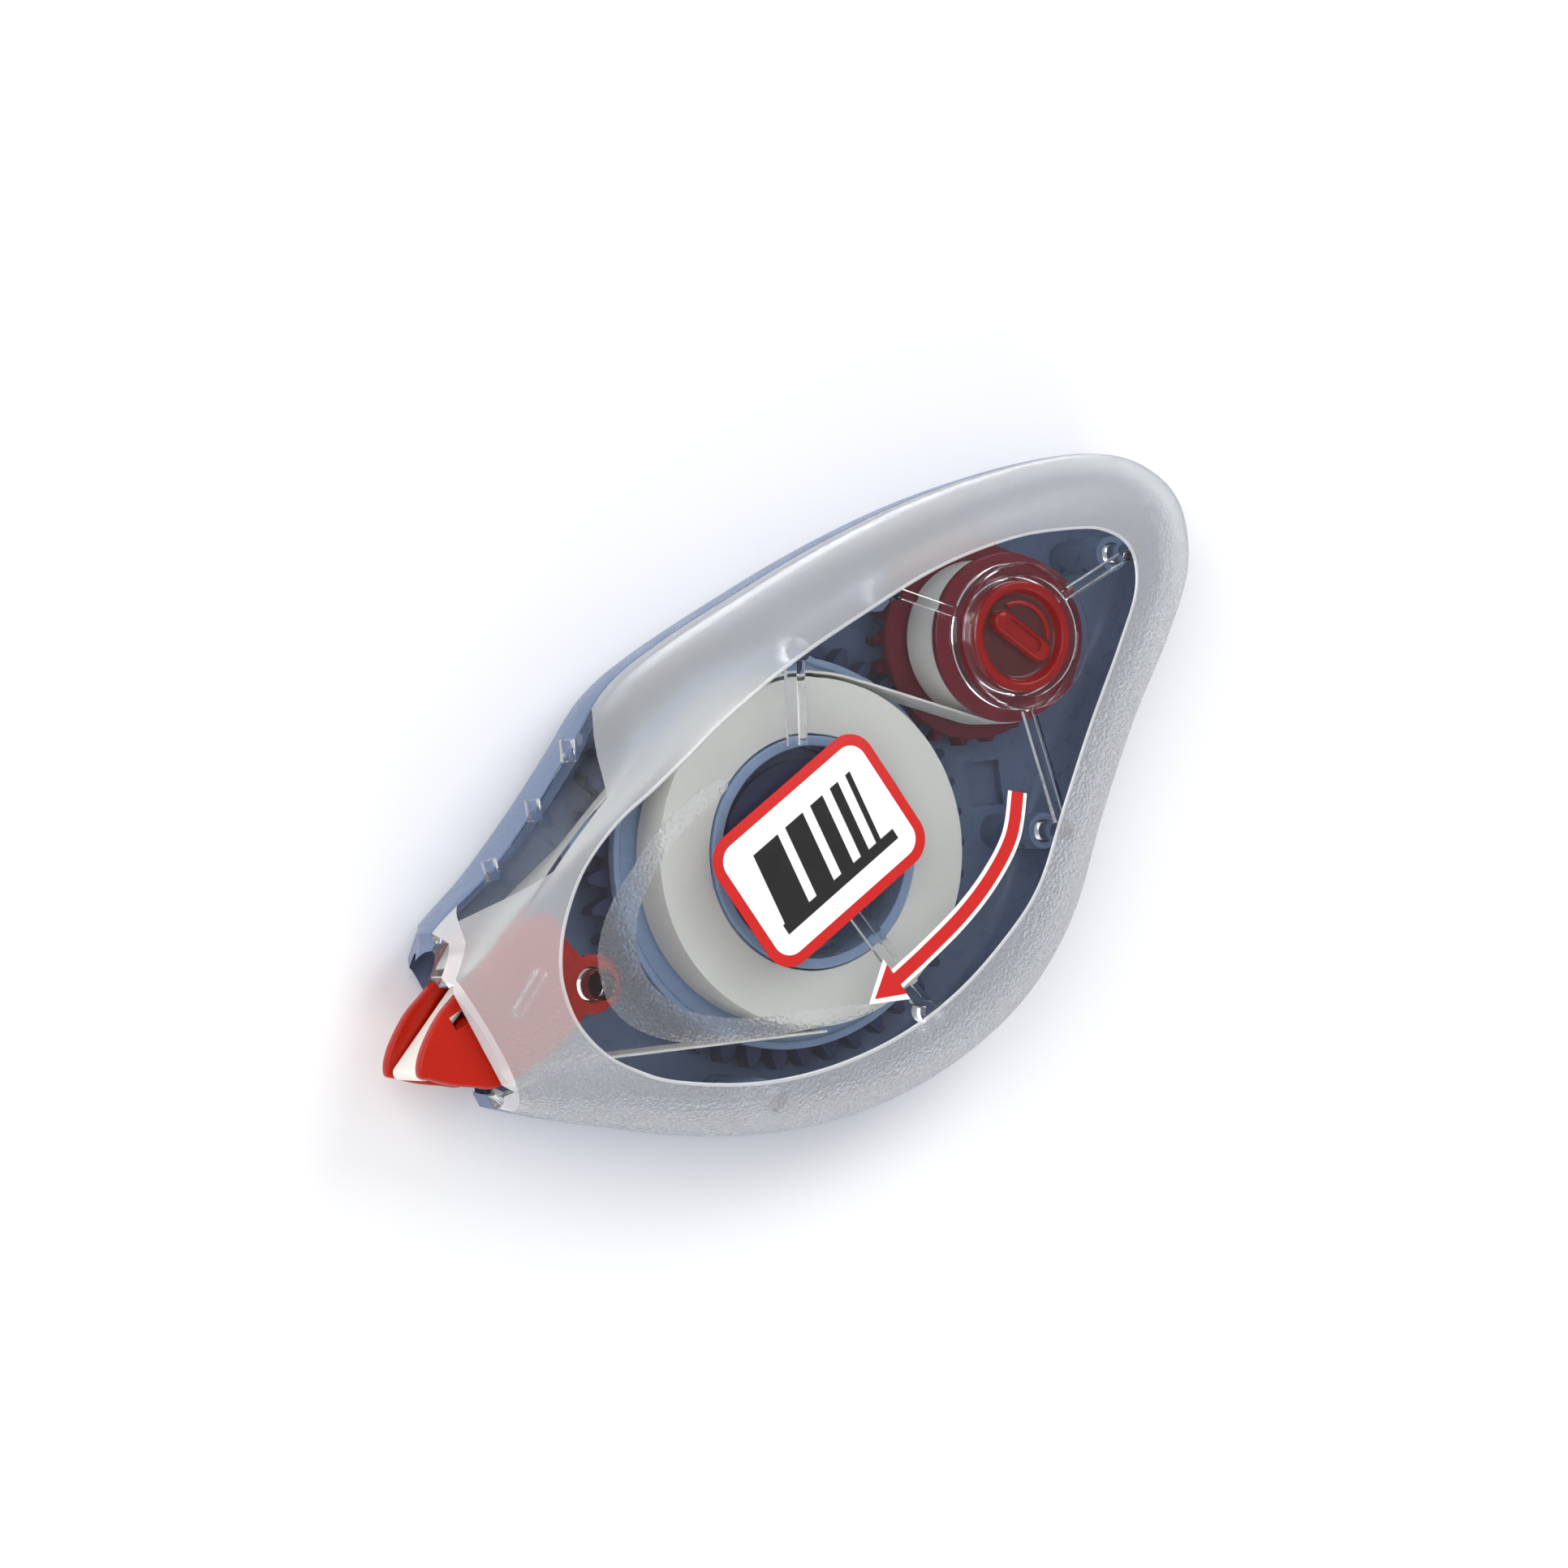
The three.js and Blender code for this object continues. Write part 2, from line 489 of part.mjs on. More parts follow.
function feedWeb() {
  const r = PACK_R + WEB_GAP + WEB / 2;
  const start = along([BLADE[0] + 0.3, BLADE[1] - 0.4], BLADE_LOWER, 9.4);
  return strip([start, tangentPoint(start, [0, 0], r, 1)], WEB, TAPE_Z, TAPE_TOP);
}

// From the tip over the guide, round the top of the supply pack and under the take-up reel.
function returnWeb() {
  const r = PACK_R + WEB_GAP + WEB / 2;
  const takeUpR = TAKE_UP_TAPE_R + WEB_GAP + WEB / 2;
  const start = along([BLADE[0] + 0.3, BLADE[1] + 0.4], BLADE_UPPER, 9.4);
  const guideAngle = Math.PI / 2 + BLADE_UPPER * 0.8;
  const onGuide = along(TAPE_GUIDE, guideAngle, TAPE_GUIDE_R + 0.45 + WEB / 2);
  const [tx, ty] = tangentPoint(onGuide, [0, 0], r, -1);
  const crossing = Math.acos((r + takeUpR) / CENTRE_DISTANCE);
  const leave = CENTRE_ANGLE + crossing;
  const over = arc(0, 0, r, Math.atan2(ty, tx), leave, 10);
  const under = arc(TAKE_UP_X, TAKE_UP_Y, takeUpR, leave + Math.PI, leave + Math.PI * 1.25, 5);
  return strip([start, onGuide, ...over, ...under], WEB, TAPE_Z, TAPE_TOP);
}

// ---------------------------------------------------------------- label and direction arrow

const LABEL = [-1.2, 0.9];     // centre of the label on the window
const INK = 0.1;

const LABEL_TURN = THREE.MathUtils.degToRad(5.4);

// Points of the label's own plan, placed on the window.
const onLabel = (points) => points.map(([x, y]) => [
  LABEL[0] + x * Math.cos(LABEL_TURN) - y * Math.sin(LABEL_TURN),
  LABEL[1] + x * Math.sin(LABEL_TURN) + y * Math.cos(LABEL_TURN),
]);

// A rectangle with round corners, on the label's plan.
function plate(halfLength, halfWidth, radius) {
  const corners = [[1, 1], [-1, 1], [-1, -1], [1, -1]];
  return onLabel(corners.flatMap(([sx, sy], quarter) => arc(
    sx * (halfLength - radius), sy * (halfWidth - radius), radius,
    quarter * Math.PI / 2, (quarter + 1) * Math.PI / 2, 5)));
}

const labelBorder = () => prism(plate(8.9, 6.2, 2.4), HEIGHT, HEIGHT + INK);
const labelField = () => prism(plate(8.0, 5.3, 1.6), HEIGHT + INK, HEIGHT + 2 * INK);

// A plain mark: slanted bars of falling width on a base line.
function labelEmblem() {
  const [bottom, top] = [HEIGHT + 2 * INK, HEIGHT + 3 * INK];
  const base = prism(onLabel([[-6.4, -3.6], [6.4, -3.6], [6.4, -2.7], [-6.4, -2.7]]), bottom, top);
  const bars = [[-6.2, 2.8], [-2.5, 2.0], [0.4, 1.4], [2.7, 0.9], [4.5, 0.5]].map(([x, width]) => prism(
    onLabel([[x, -2.8], [x + width, -2.8], [x + width + 1, 3.4], [x + 1, 3.4]]), bottom, top));
  return join(base, ...bars);
}

// A curved arrow that follows the window's lower edge, pointing the way the tape leaves.
function arrow(grow, bottom, top) {
  const spine = [[17.2, -4.9], [14.8, -7.6], [11.4, -9.4], [7.4, -10.6], [3.0, -11.3], [-0.6, -11.7]];
  const curve = new THREE.CatmullRomCurve3(spine.map(([x, y]) => new THREE.Vector3(x, y, 0)))
    .getPoints(20).map((p) => [p.x, p.y]);
  const half = 0.55 + grow;
  const normals = curve.map((_, i) => {
    const [ax, ay] = curve[Math.max(i - 1, 0)];
    const [bx, by] = curve[Math.min(i + 1, curve.length - 1)];
    const length = Math.hypot(bx - ax, by - ay);
    return [-(by - ay) / length, (bx - ax) / length];
  });
  const side = (sign) => curve.map(([x, y], i) => [x + sign * half * normals[i][0], y + sign * half * normals[i][1]]);
  const [ex, ey] = curve[curve.length - 1];
  const [nx, ny] = normals[normals.length - 1];
  const [dx, dy] = [ny, -nx];
  const wing = 1.5 + grow * 1.6;
  const head = [
    [ex - wing * nx, ey - wing * ny], [ex + dx * (2.6 + 2 * grow), ey + dy * (2.6 + 2 * grow)],
    [ex + wing * nx, ey + wing * ny],
  ];
  return prism([...side(-1), ...head, ...side(1).reverse()], bottom, top);
}

// ---------------------------------------------------------------- assembly

const roller = new THREE.Group();

function add(name, body, material) {
  const mesh = new THREE.Mesh(toGeometry(body), MATERIALS[material]);
  mesh.name = name;
  roller.add(mesh);
}

add('back_shell', backShell(), 'smokeBlue');
add('front_cover', frontCover(), 'clear');

add('supply_gear', supplyGear(), 'navy');
add('clutch_ring', clutchRing(), 'rubber');
add('core_retainer', coreRetainer(), 'navy');
add('supply_core', supplyCore(), 'paleBlue');
add('tape_pack', tapePack(), 'tape');

add('take_up_gear', takeUpGear(), 'maroon');
add('take_up_flange', takeUpFlange(), 'maroon');
add('take_up_tape', takeUpTape(), 'tape');
add('tension_knob', tensionKnob(), 'red');

add('tip_head', tipHead(), 'red');
add('tip_tape', tipTape(), 'tape');
add('feed_web', feedWeb(), 'tape');
add('return_web', returnWeb(), 'tape');

add('label_border', labelBorder(), 'inkRed');
add('label_field', labelField(), 'inkWhite');
add('label_emblem', labelEmblem(), 'inkBlack');
add('arrow_outline', arrow(0.35, HEIGHT, HEIGHT + INK), 'inkWhite');
add('arrow_mark', arrow(0, HEIGHT + INK, HEIGHT + 2 * INK), 'inkRed');

export default roller;
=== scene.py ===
"""Looks of the correction tape roller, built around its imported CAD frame.

Shapes are worked out in millimetres and scaled to metres when a mesh is made.
"""
import json
import math

import bmesh
import bpy
from mathutils import Matrix, Vector
from mathutils.geometry import delaunay_2d_cdt


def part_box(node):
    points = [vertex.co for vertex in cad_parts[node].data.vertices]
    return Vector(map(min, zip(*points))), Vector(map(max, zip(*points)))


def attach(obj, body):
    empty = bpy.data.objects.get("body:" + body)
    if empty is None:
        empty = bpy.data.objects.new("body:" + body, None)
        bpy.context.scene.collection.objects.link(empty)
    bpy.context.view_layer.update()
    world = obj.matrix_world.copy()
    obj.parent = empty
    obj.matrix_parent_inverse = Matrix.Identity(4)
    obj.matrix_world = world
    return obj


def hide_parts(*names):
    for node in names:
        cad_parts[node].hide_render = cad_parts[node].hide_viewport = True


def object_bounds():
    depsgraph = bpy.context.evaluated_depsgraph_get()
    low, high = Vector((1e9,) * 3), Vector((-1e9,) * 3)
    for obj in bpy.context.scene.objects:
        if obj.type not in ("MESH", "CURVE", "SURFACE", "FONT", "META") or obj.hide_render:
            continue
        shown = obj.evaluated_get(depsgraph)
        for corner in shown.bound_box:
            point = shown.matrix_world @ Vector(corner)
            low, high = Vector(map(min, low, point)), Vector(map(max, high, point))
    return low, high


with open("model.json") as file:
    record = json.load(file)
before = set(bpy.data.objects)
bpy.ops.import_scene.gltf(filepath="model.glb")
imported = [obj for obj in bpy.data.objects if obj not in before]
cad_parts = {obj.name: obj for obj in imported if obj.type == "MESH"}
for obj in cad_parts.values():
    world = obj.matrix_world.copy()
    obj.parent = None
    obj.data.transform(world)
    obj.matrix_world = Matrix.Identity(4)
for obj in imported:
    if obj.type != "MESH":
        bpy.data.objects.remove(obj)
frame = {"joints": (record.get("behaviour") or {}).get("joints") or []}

CAD_BOUNDS = [list(corner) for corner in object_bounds()]
MM = 0.001


def low_mm(node):
    """Lowest corner of a CAD node, in millimetres."""
    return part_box(node)[0] / MM


def high_mm(node):
    """Highest corner of a CAD node, in millimetres."""
    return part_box(node)[1] / MM


def centre_mm(node):
    return (low_mm(node) + high_mm(node)) / 2


# ---------------------------------------------------------------- dimensions from the frame

FACE_Z = low_mm("label_border").z          # the window's flat face
PARTING = 7.5                              # height where the two shells meet
TAPE_LOW = low_mm("tape_pack").z
TAPE_HIGH = high_mm("tape_pack").z
PACK_R = high_mm("tape_pack").x
TAKE_UP = centre_mm("tension_knob").to_2d()
PIVOT = Vector(next(j for j in frame["joints"] if j["name"] == "tip_rock")["pos_m"]).to_2d() / MM
CHEEK_LOW = low_mm("tip_head").z
CHEEK_HIGH = high_mm("tip_head").z
GEAR_LOW = low_mm("supply_gear").z
FLANGE_LOW = low_mm("supply_core").z
WALL = 1.25
BACK_INSET = 0.45                          # flat back's inset, as a share of the window's inset

# The outline where the shells meet (x, y) and the window's edge above it (x, y).
OUTLINE = [
    (46.2, 6.2, 37.4, 6.4), (44.6, 10.6, 36.0, 9.0), (40.6, 13.8, 33.0, 10.9), (33.9, 16.5, 28.0, 13.0),
    (24.6, 18.9, 20.8, 14.6), (15.0, 20.3, 12.8, 15.1), (5.4, 20.9, 4.8, 15.2), (-3.2, 21.1, -2.8, 14.6),
    (-8.5, 20.5, -7.6, 13.8), (-13.2, 18.3, -11.4, 13.2), (-19.1, 15.6, -15.8, 12.6),
    (-25.2, 13.5, -20.4, 11.0), (-31.2, 12.4, -24.0, 8.4), (-35.2, 10.6, -26.2, 5.6),
    (-37.2, 6.6, -27.1, 3.2), (-37.4, 2.2, -27.3, 0.6), (-35.4, -1.4, -26.6, -2.2),
    (-32.0, -4.8, -25.2, -4.6), (-27.0, -9.0, -22.4, -7.7), (-20.0, -14.5, -16.6, -11.7),
    (-12.4, -18.7, -10.4, -14.4), (-4.4, -21.3, -3.6, -15.9), (3.9, -22.1, 3.0, -16.0),
    (11.6, -21.1, 9.4, -14.8), (18.6, -17.9, 15.0, -12.7), (25.6, -12.2, 20.6, -8.4),
    (32.5, -7.1, 26.4, -4.0), (39.4, -2.8, 32.4, 0.2), (44.2, 1.2, 36.2, 3.3),
]
STEPS_PER_POINT = 8
SCALLOP_START, SCALLOP_END = 8.2, 12.4     # finger scallop, counted in control points
SCALLOP_DEPTH = 0.7
SCALLOP_CREASE = math.radians(65)
NOSE_X = -34.4
NOSE_CORNER = (-34.2, 9.6)
NOSE_CHAMFER_END = (-32.0, 11.4)
NOSE_UNDERCUT = 3.4                        # how far the back shell's end slopes away at the bottom
NOSE_BEVEL = 1.6                           # how far the cover's end slopes away at the top
SHELL_GAP = 0.03                           # each shell's share of the gap between them
SHELL_LIP = 0.14                           # bevel where the shells meet
CRESCENT_RISE = 0.05                       # how proud of the window the crescent stands
SUPPLY_POST_R = 3.0
TAKE_UP_POST_R = 1.8
SOCKET_R, SOCKET_BORE_R, SOCKET_TOP = 1.5, 0.95, 8.7
PEG_R, PEG_LOW = 0.75, 8.0
RING_R, RING_BORE_R, RING_LOW = 6.05, 4.85, 10.85
PEGS = [(37.9, 5.7), (20.1, -10.4), (16.6, 14.6), (-14.3, -14.5)]

# the last slot is a whitish, half-clear material that paints a highlight line on the window's bead and along
# the nose's top
CLEAR, FROST, THIN_FROST, PAINTED_HIGHLIGHT = range(4)  # material slots of the cover
CREASE_BAND = 11                           # band of the shoulder that the scallop's crease is on
NOSE_BAND = 0.9                            # width of the band along the cover's nose, with a painted highlight on its upward faces


# ---------------------------------------------------------------- curves

def spline(points, per_point, closed=True):
    """A uniform Catmull-Rom curve through the points, sampled evenly between them."""
    count = len(points)

    def pick(i):
        return points[i % count if closed else min(max(i, 0), count - 1)]

    found = []
    for i in range(count if closed else count - 1):
        p0, p1, p2, p3 = (pick(i + k) for k in (-1, 0, 1, 2))
        for step in range(per_point):
            t = step / per_point
            found.append(tuple(
                0.5 * (2 * b + (c - a) * t
                       + (2 * a - 5 * b + 4 * c - d) * t ** 2
                       + (3 * b - a - 3 * c + d) * t ** 3)
                for a, b, c, d in zip(p0, p1, p2, p3)
            ))
    if not closed:
        found.append(tuple(points[-1]))
    return found


def arc(centre, radius, start, end, steps):
    return [
        (centre[0] + radius * math.cos(start + (end - start) * i / steps),
         centre[1] + radius * math.sin(start + (end - start) * i / steps))
        for i in range(steps + 1)
    ]


def along(point, angle, distance):
    return (point[0] + distance * math.cos(angle), point[1] + distance * math.sin(angle))


def normals_of(points, closed):
    """Unit vectors to the right of a path, one for each point."""
    count = len(points)
    found = []
    for i in range(count):
        a = points[(i - 1) % count] if closed else points[max(i - 1, 0)]
        b = points[(i + 1) % count] if closed else points[min(i + 1, count - 1)]
        dx, dy = b[0] - a[0], b[1] - a[1]
        length = math.hypot(dx, dy) or 1.0
        found.append((dy / length, -dx / length))
    return found


# ---------------------------------------------------------------- meshes

def object_from(name, mesh):
    """A Blender object in metres from a bmesh in millimetres, with its faces pointing out."""
    bmesh.ops.recalc_face_normals(mesh, faces=mesh.faces)
    mesh.transform(Matrix.Scale(MM, 4))
    data = bpy.data.meshes.new(name)
    mesh.to_mesh(data)
    mesh.free()
    obj = bpy.data.objects.new(name, data)
    bpy.context.scene.collection.objects.link(obj)
    return obj


def from_rings(name, rings, material=0):
    """A closed solid through rings of points, capped at both ends."""
    mesh = bmesh.new()
    made = [[mesh.verts.new(p) for p in ring] for ring in rings]
    for low, high in zip(made, made[1:]):
        for i in range(len(low)):
            j = (i + 1) % len(low)
            mesh.faces.new((low[i], low[j], high[j], high[i]))
    mesh.faces.new(made[0][::-1])
    mesh.faces.new(made[-1])
    for face in mesh.faces:
        face.material_index = material
    return object_from(name, mesh)


def prism(outline, bottom, top, edge=0.1, material=0):
    """An upright prism with rounded edges on both ends."""
    area = sum(a[0] * b[1] - b[0] * a[1] for a, b in zip(outline, outline[1:] + outline[:1]))
    points = outline if area > 0 else outline[::-1]
    normals = normals_of(points, True)

    def ring(inset, z):
        return [(x - nx * inset, y - ny * inset, z) for (x, y), (nx, ny) in zip(points, normals)]

    if not edge:
        return from_rings("prism", [ring(0, bottom), ring(0, top)], material=material)
    turns = (0, math.pi / 6, math.pi / 3, math.pi / 2)
    rounding = [(edge * (1 - math.sin(t)), edge * (1 - math.cos(t))) for t in turns]
    return from_rings("prism", (
        [ring(inset, bottom + rise) for inset, rise in rounding]
        + [ring(inset, top - rise) for inset, rise in reversed(rounding)]
    ), material=material)


def turned(profile, centre=(0, 0), segments=144):
    """A closed profile of (radius, z) turned about the upright line through centre."""
    mesh = bmesh.new()
    hub = [r < 1e-6 for r, _ in profile]
    columns = []
    for r, z in profile:
        if r < 1e-6:
            columns.append([mesh.verts.new((centre[0], centre[1], z))])
        else:
            circle = [along(centre, 2 * math.pi * i / segments, r) for i in range(segments)]
            columns.append([mesh.verts.new((x, y, z)) for x, y in circle])
    for k in range(len(profile)):
        a, b = columns[k], columns[(k + 1) % len(profile)]
        if hub[k] and hub[(k + 1) % len(profile)]:
            continue
        for i in range(segments):
            j = (i + 1) % segments
            corners = [a[i % len(a)], a[j % len(a)], b[j % len(b)], b[i % len(b)]]
            mesh.faces.new(list(dict.fromkeys(corners)))
    return object_from("turned", mesh)


def rounded(profile, edge):
    """A profile with every corner that isn't on the axis cut back and rounded."""
    found = []
    count = len(profile)
    for k, (r, z) in enumerate(profile):
        before, after = Vector(profile[k - 1]), Vector(profile[(k + 1) % count])
        corner = Vector((r, z))
        if r < 1e-6:
            found.append((r, z))
            continue
        size = min(edge, (before - corner).length * 0.4, (after - corner).length * 0.4)
        start = corner + (before - corner).normalized() * size
        end = corner + (after - corner).normalized() * size
        for t in (0, 0.33, 0.67, 1):
            p = start * (1 - t) ** 2 + corner * 2 * t * (1 - t) + end * t ** 2
            found.append((p.x, p.y))
    return found


def disc(radius, bottom, top, centre=(0, 0), edge=0.1, segments=96):
    profile = [(0, bottom), (radius, bottom), (radius, top), (0, top)]
    return turned(rounded(profile, edge), centre, segments)


def tube(outer, inner, bottom, top, centre=(0, 0), edge=0.1, segments=144):
    profile = [(inner, bottom), (outer, bottom), (outer, top), (inner, top)]
    return turned(rounded(profile, edge), centre, segments)


def wall(start, end, thickness, bottom, top, edge=0.12):
    """A straight upright wall between two points of the plan."""
    length = math.dist(start, end)
    nx = (start[1] - end[1]) / length * thickness / 2
    ny = (end[0] - start[0]) / length * thickness / 2
    outline = [
        (start[0] - nx, start[1] - ny), (end[0] - nx, end[1] - ny),
        (end[0] + nx, end[1] + ny), (start[0] + nx, start[1] + ny),
    ]
    return prism(outline, bottom, top, edge)


def strip(path, thickness, bottom, top):
    """A strip standing on its edge along a path, with square edges."""
    normals = normals_of(path, False)
    sides = [
        [(x + s * nx * thickness / 2, y + s * ny * thickness / 2)
         for (x, y), (nx, ny) in zip(path, normals)]
        for s in (1, -1)
    ]
    return prism(sides[0] + sides[1][::-1], bottom, top, 0.0)


def bake(obj):
    """Turns an object's modifiers into its mesh."""
    evaluated = obj.evaluated_get(bpy.context.evaluated_depsgraph_get())
    mesh = bpy.data.meshes.new_from_object(evaluated)
    obj.modifiers.clear()
    mesh.validate()
    old, obj.data = obj.data, mesh
    bpy.data.meshes.remove(old)


def combine(target, operation, *tools):
    """Joins tools to, or cuts them from, a closed object."""
    for tool in tools:
        tool.data.materials.clear()
        for material in target.data.materials:
            tool.data.materials.append(material)
        modifier = target.modifiers.new("combine", "BOOLEAN")
        modifier.operation, modifier.solver, modifier.object = operation, "EXACT", tool
    bake(target)
    for tool in tools:
        bpy.data.objects.remove(tool, do_unlink=True)


def finish(name, obj, materials, body, nodes, sharp=32):
    """Names a piece, gives it its finish and puts it on its body. Materials it already has are kept."""
    obj.name = obj.data.name = name
    if not obj.data.materials:
        for material in materials:
            obj.data.materials.append(material)
    obj.data.shade_smooth()
    obj.data.set_sharp_from_angle(angle=math.radians(sharp))
    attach(obj, body)
    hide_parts(*nodes)
    return obj


# ---------------------------------------------------------------- materials

def srgb(red, green, blue):
    """8-bit display colour as linear RGBA."""
    def linear(v):
        v /= 255
        return v / 12.92 if v <= 0.04045 else ((v + 0.055) / 1.055) ** 2.4
    return (linear(red), linear(green), linear(blue), 1.0)


def shade_of(color, factor):
    return tuple(min(1.0, c * factor) for c in color[:3]) + (1.0,)


def plastic(name, color, roughness, *, vary=0.1, spread=0.06, grain=0.15, bump=0.12, depth=0.01,
            transmission=0.0, ior=1.49, specular=0.5, rings=0.0, patches=1.7, fade=None):
    """Moulded plastic: cloudy colour, uneven gloss and a fine grain. Grain and depth are in millimetres."""
    material = bpy.data.materials.new(name)
    material.use_nodes = True
    nodes, links = material.node_tree.nodes, material.node_tree.links
    shader = nodes["Principled BSDF"]
    shader.inputs["IOR"].default_value = ior
    shader.inputs["Transmission Weight"].default_value = transmission
    shader.inputs["Specular IOR Level"].default_value = specular
    place = nodes.new("ShaderNodeTexCoord")

    def noise(scale_mm, detail):
        node = nodes.new("ShaderNodeTexNoise")
        node.inputs["Scale"].default_value = 1 / (scale_mm * MM)
        node.inputs["Detail"].default_value = detail
        links.new(place.outputs["Object"], node.inputs["Vector"])
        return node.outputs["Fac"]

    clouds = noise(6.0, 3.0)
    mix = nodes.new("ShaderNodeMix")
    mix.data_type = "RGBA"
    mix.inputs["A"].default_value = shade_of(color, 1 - vary)
    mix.inputs["B"].default_value = shade_of(color, 1 + vary)
    links.new(clouds, mix.inputs["Factor"])
    links.new(mix.outputs["Result"], shader.inputs["Base Color"])

    gloss = nodes.new("ShaderNodeMapRange")
    gloss.inputs["From Min"].default_value, gloss.inputs["From Max"].default_value = 0.3, 0.7
    gloss.inputs["To Min"].default_value = max(0.0, roughness - spread)
    gloss.inputs["To Max"].default_value = roughness + spread
    links.new(noise(patches, 4.0), gloss.inputs["Value"])
    links.new(gloss.outputs["Result"], shader.inputs["Roughness"])

    relief = nodes.new("ShaderNodeBump")
    relief.inputs["Strength"].default_value = bump
    relief.inputs["Distance"].default_value = depth * MM
    height = noise(grain, 2.0)
    if rings:
        # Fine turns of wound tape: rings about the reel's axis.
        wave = nodes.new("ShaderNodeTexWave")
        wave.wave_type, wave.rings_direction = "RINGS", "Z"
        wave.inputs["Scale"].default_value = 1 / (rings * MM)
        wave.inputs["Distortion"].default_value = 1.5
        wave.inputs["Detail Scale"].default_value = 2.0
        links.new(place.outputs["Object"], wave.inputs["Vector"])
        height = wave.outputs["Fac"]
    links.new(height, relief.inputs["Height"])
    if fade:
        # the gloss and the grain both grow from the first place along Y, in millimetres, to the second
        axes = nodes.new("ShaderNodeSeparateXYZ")
        links.new(place.outputs["Object"], axes.inputs["Vector"])

        def ramp(low, high):
            node = nodes.new("ShaderNodeMapRange")
            node.inputs["From Min"].default_value = fade[0] * MM
            node.inputs["From Max"].default_value = fade[1] * MM
            node.inputs["To Min"].default_value = low
            node.inputs["To Max"].default_value = high
            links.new(axes.outputs["Y"], node.inputs["Value"])
            return node.outputs["Result"]

        product = nodes.new("ShaderNodeMath")
        product.operation = "MULTIPLY"
        links.new(gloss.outputs["Result"], product.inputs[0])
        links.new(ramp(1.0, 0.55), product.inputs[1])
        links.new(product.outputs[0], shader.inputs["Roughness"])
        links.new(ramp(0.12, bump), relief.inputs["Strength"])
    links.new(relief.outputs["Normal"], shader.inputs["Normal"])
    return material


COVER_CLEAR = plastic("cover_clear", srgb(250, 252, 254), 0.03, vary=0.005, spread=0.02, bump=0.03, grain=3.0,
                      depth=0.02, transmission=1.0, ior=1.36)
COVER_FROST = plastic("cover_frost", srgb(246, 248, 250), 0.42, vary=0.03, spread=0.1, bump=0.9, grain=0.28,
                      depth=0.3, transmission=0.7, ior=1.4, specular=0.4, patches=0.5, fade=(9.0, -7.0))
COVER_THIN_FROST = plastic("cover_thin_frost", srgb(244, 246, 249), 0.24, vary=0.03, spread=0.12, bump=0.9,
                           grain=0.3, depth=0.16, transmission=0.9, ior=1.4, patches=0.4)
# A whitish, half-clear copy of the cover's plastic: a painted highlight for the thin bright lines on the
# window's bead and the nose's top.
COVER_PAINTED_HIGHLIGHT = plastic("cover_painted_highlight", srgb(250, 251, 253), 0.14, vary=0.01, bump=0.05, grain=0.5,
                     transmission=0.5)
SMOKE_BLUE = plastic("smoke_blue", srgb(106, 122, 154), 0.3, vary=0.06, bump=0.15, grain=0.3,
                     depth=0.01, specular=0.3)
PALE_BLUE = plastic("pale_blue", srgb(148, 170, 204), 0.28, vary=0.05, bump=0.1, grain=0.3, specular=0.3)
NAVY = plastic("navy", srgb(58, 64, 98), 0.35, vary=0.08, bump=0.15, grain=0.25, specular=0.2)
RED = plastic("red", srgb(176, 28, 10), 0.28, vary=0.07, bump=0.12, grain=0.3, specular=0.25)
KNOB_RED = plastic("knob_red", srgb(168, 10, 6), 0.14, vary=0.1, bump=0.1, grain=0.4, specular=0.35)
# A darker copy of the knob's red, for the cup's floor and the bar's dish: painted shade in the recesses.
KNOB_RECESS_SHADE = plastic("knob_recess_shade", srgb(92, 8, 10), 0.18, vary=0.15, bump=0.1, grain=0.4, specular=0.35)
MAROON = plastic("maroon", srgb(168, 14, 56), 0.12, vary=0.08, bump=0.08, grain=0.4,
                 transmission=0.6, ior=1.4, specular=0.3)
TAPE = plastic("tape", srgb(240, 238, 230), 0.55, vary=0.02, bump=0.1, grain=0.1, depth=0.01, specular=0.3)
WOUND_TAPE = plastic("wound_tape", srgb(240, 238, 230), 0.55, vary=0.02, bump=0.25, depth=0.02, rings=0.35,
                     specular=0.3)
RUBBER = plastic("rubber", srgb(42, 42, 44), 0.75, vary=0.15, bump=0.4, grain=0.12, depth=0.02)
INK_RED = plastic("ink_red", srgb(200, 22, 18), 0.42, vary=0.05, bump=0.2, grain=0.12, depth=0.004)
INK_WHITE = plastic("ink_white", srgb(248, 248, 246), 0.42, vary=0.01, bump=0.2, grain=0.12, depth=0.004)
INK_BLACK = plastic("ink_black", srgb(24, 24, 24), 0.4, vary=0.2, bump=0.2, grain=0.12, depth=0.004)


# ---------------------------------------------------------------- shells

RIM = spline([(x, y) for x, y, _, _ in OUTLINE], STEPS_PER_POINT)
FACE = spline([(x, y) for _, _, x, y in OUTLINE], STEPS_PER_POINT)


def scallop(sample):
    """How deep the finger scallop is at a sample of the outline, 0 to 1."""
    part = (sample / STEPS_PER_POINT - SCALLOP_START) / (SCALLOP_END - SCALLOP_START)
    if not 0 < part < 1:
        return 0.0
    return SCALLOP_DEPTH * min(1.0, 1.7 * math.sin(math.pi * part))


def shoulder(sample, angle, skin, share, rise, hollow):
    """A point of a shoulder, `skin` in from the rim, `angle` of the way round to the flat."""
    (rx, ry), (fx, fy) = RIM[sample], FACE[sample]
    span = math.hypot(fx - rx, fy - ry)
    reach = span * share - skin
    inset, lift = reach * (1 - math.cos(angle)), rise * math.sin(angle)
    if angle < SCALLOP_CREASE:
        depth = scallop(sample) * hollow
        turn = math.pi / 2 * angle / SCALLOP_CREASE
        inset += (reach * (1 - math.cos(SCALLOP_CREASE)) * math.sin(turn) - inset) * depth
        lift += (rise * math.sin(SCALLOP_CREASE) * (1 - math.cos(turn)) - lift) * depth
    inset += skin
    return rx + (fx - rx) / span * inset, ry + (fy - ry) / span * inset, lift


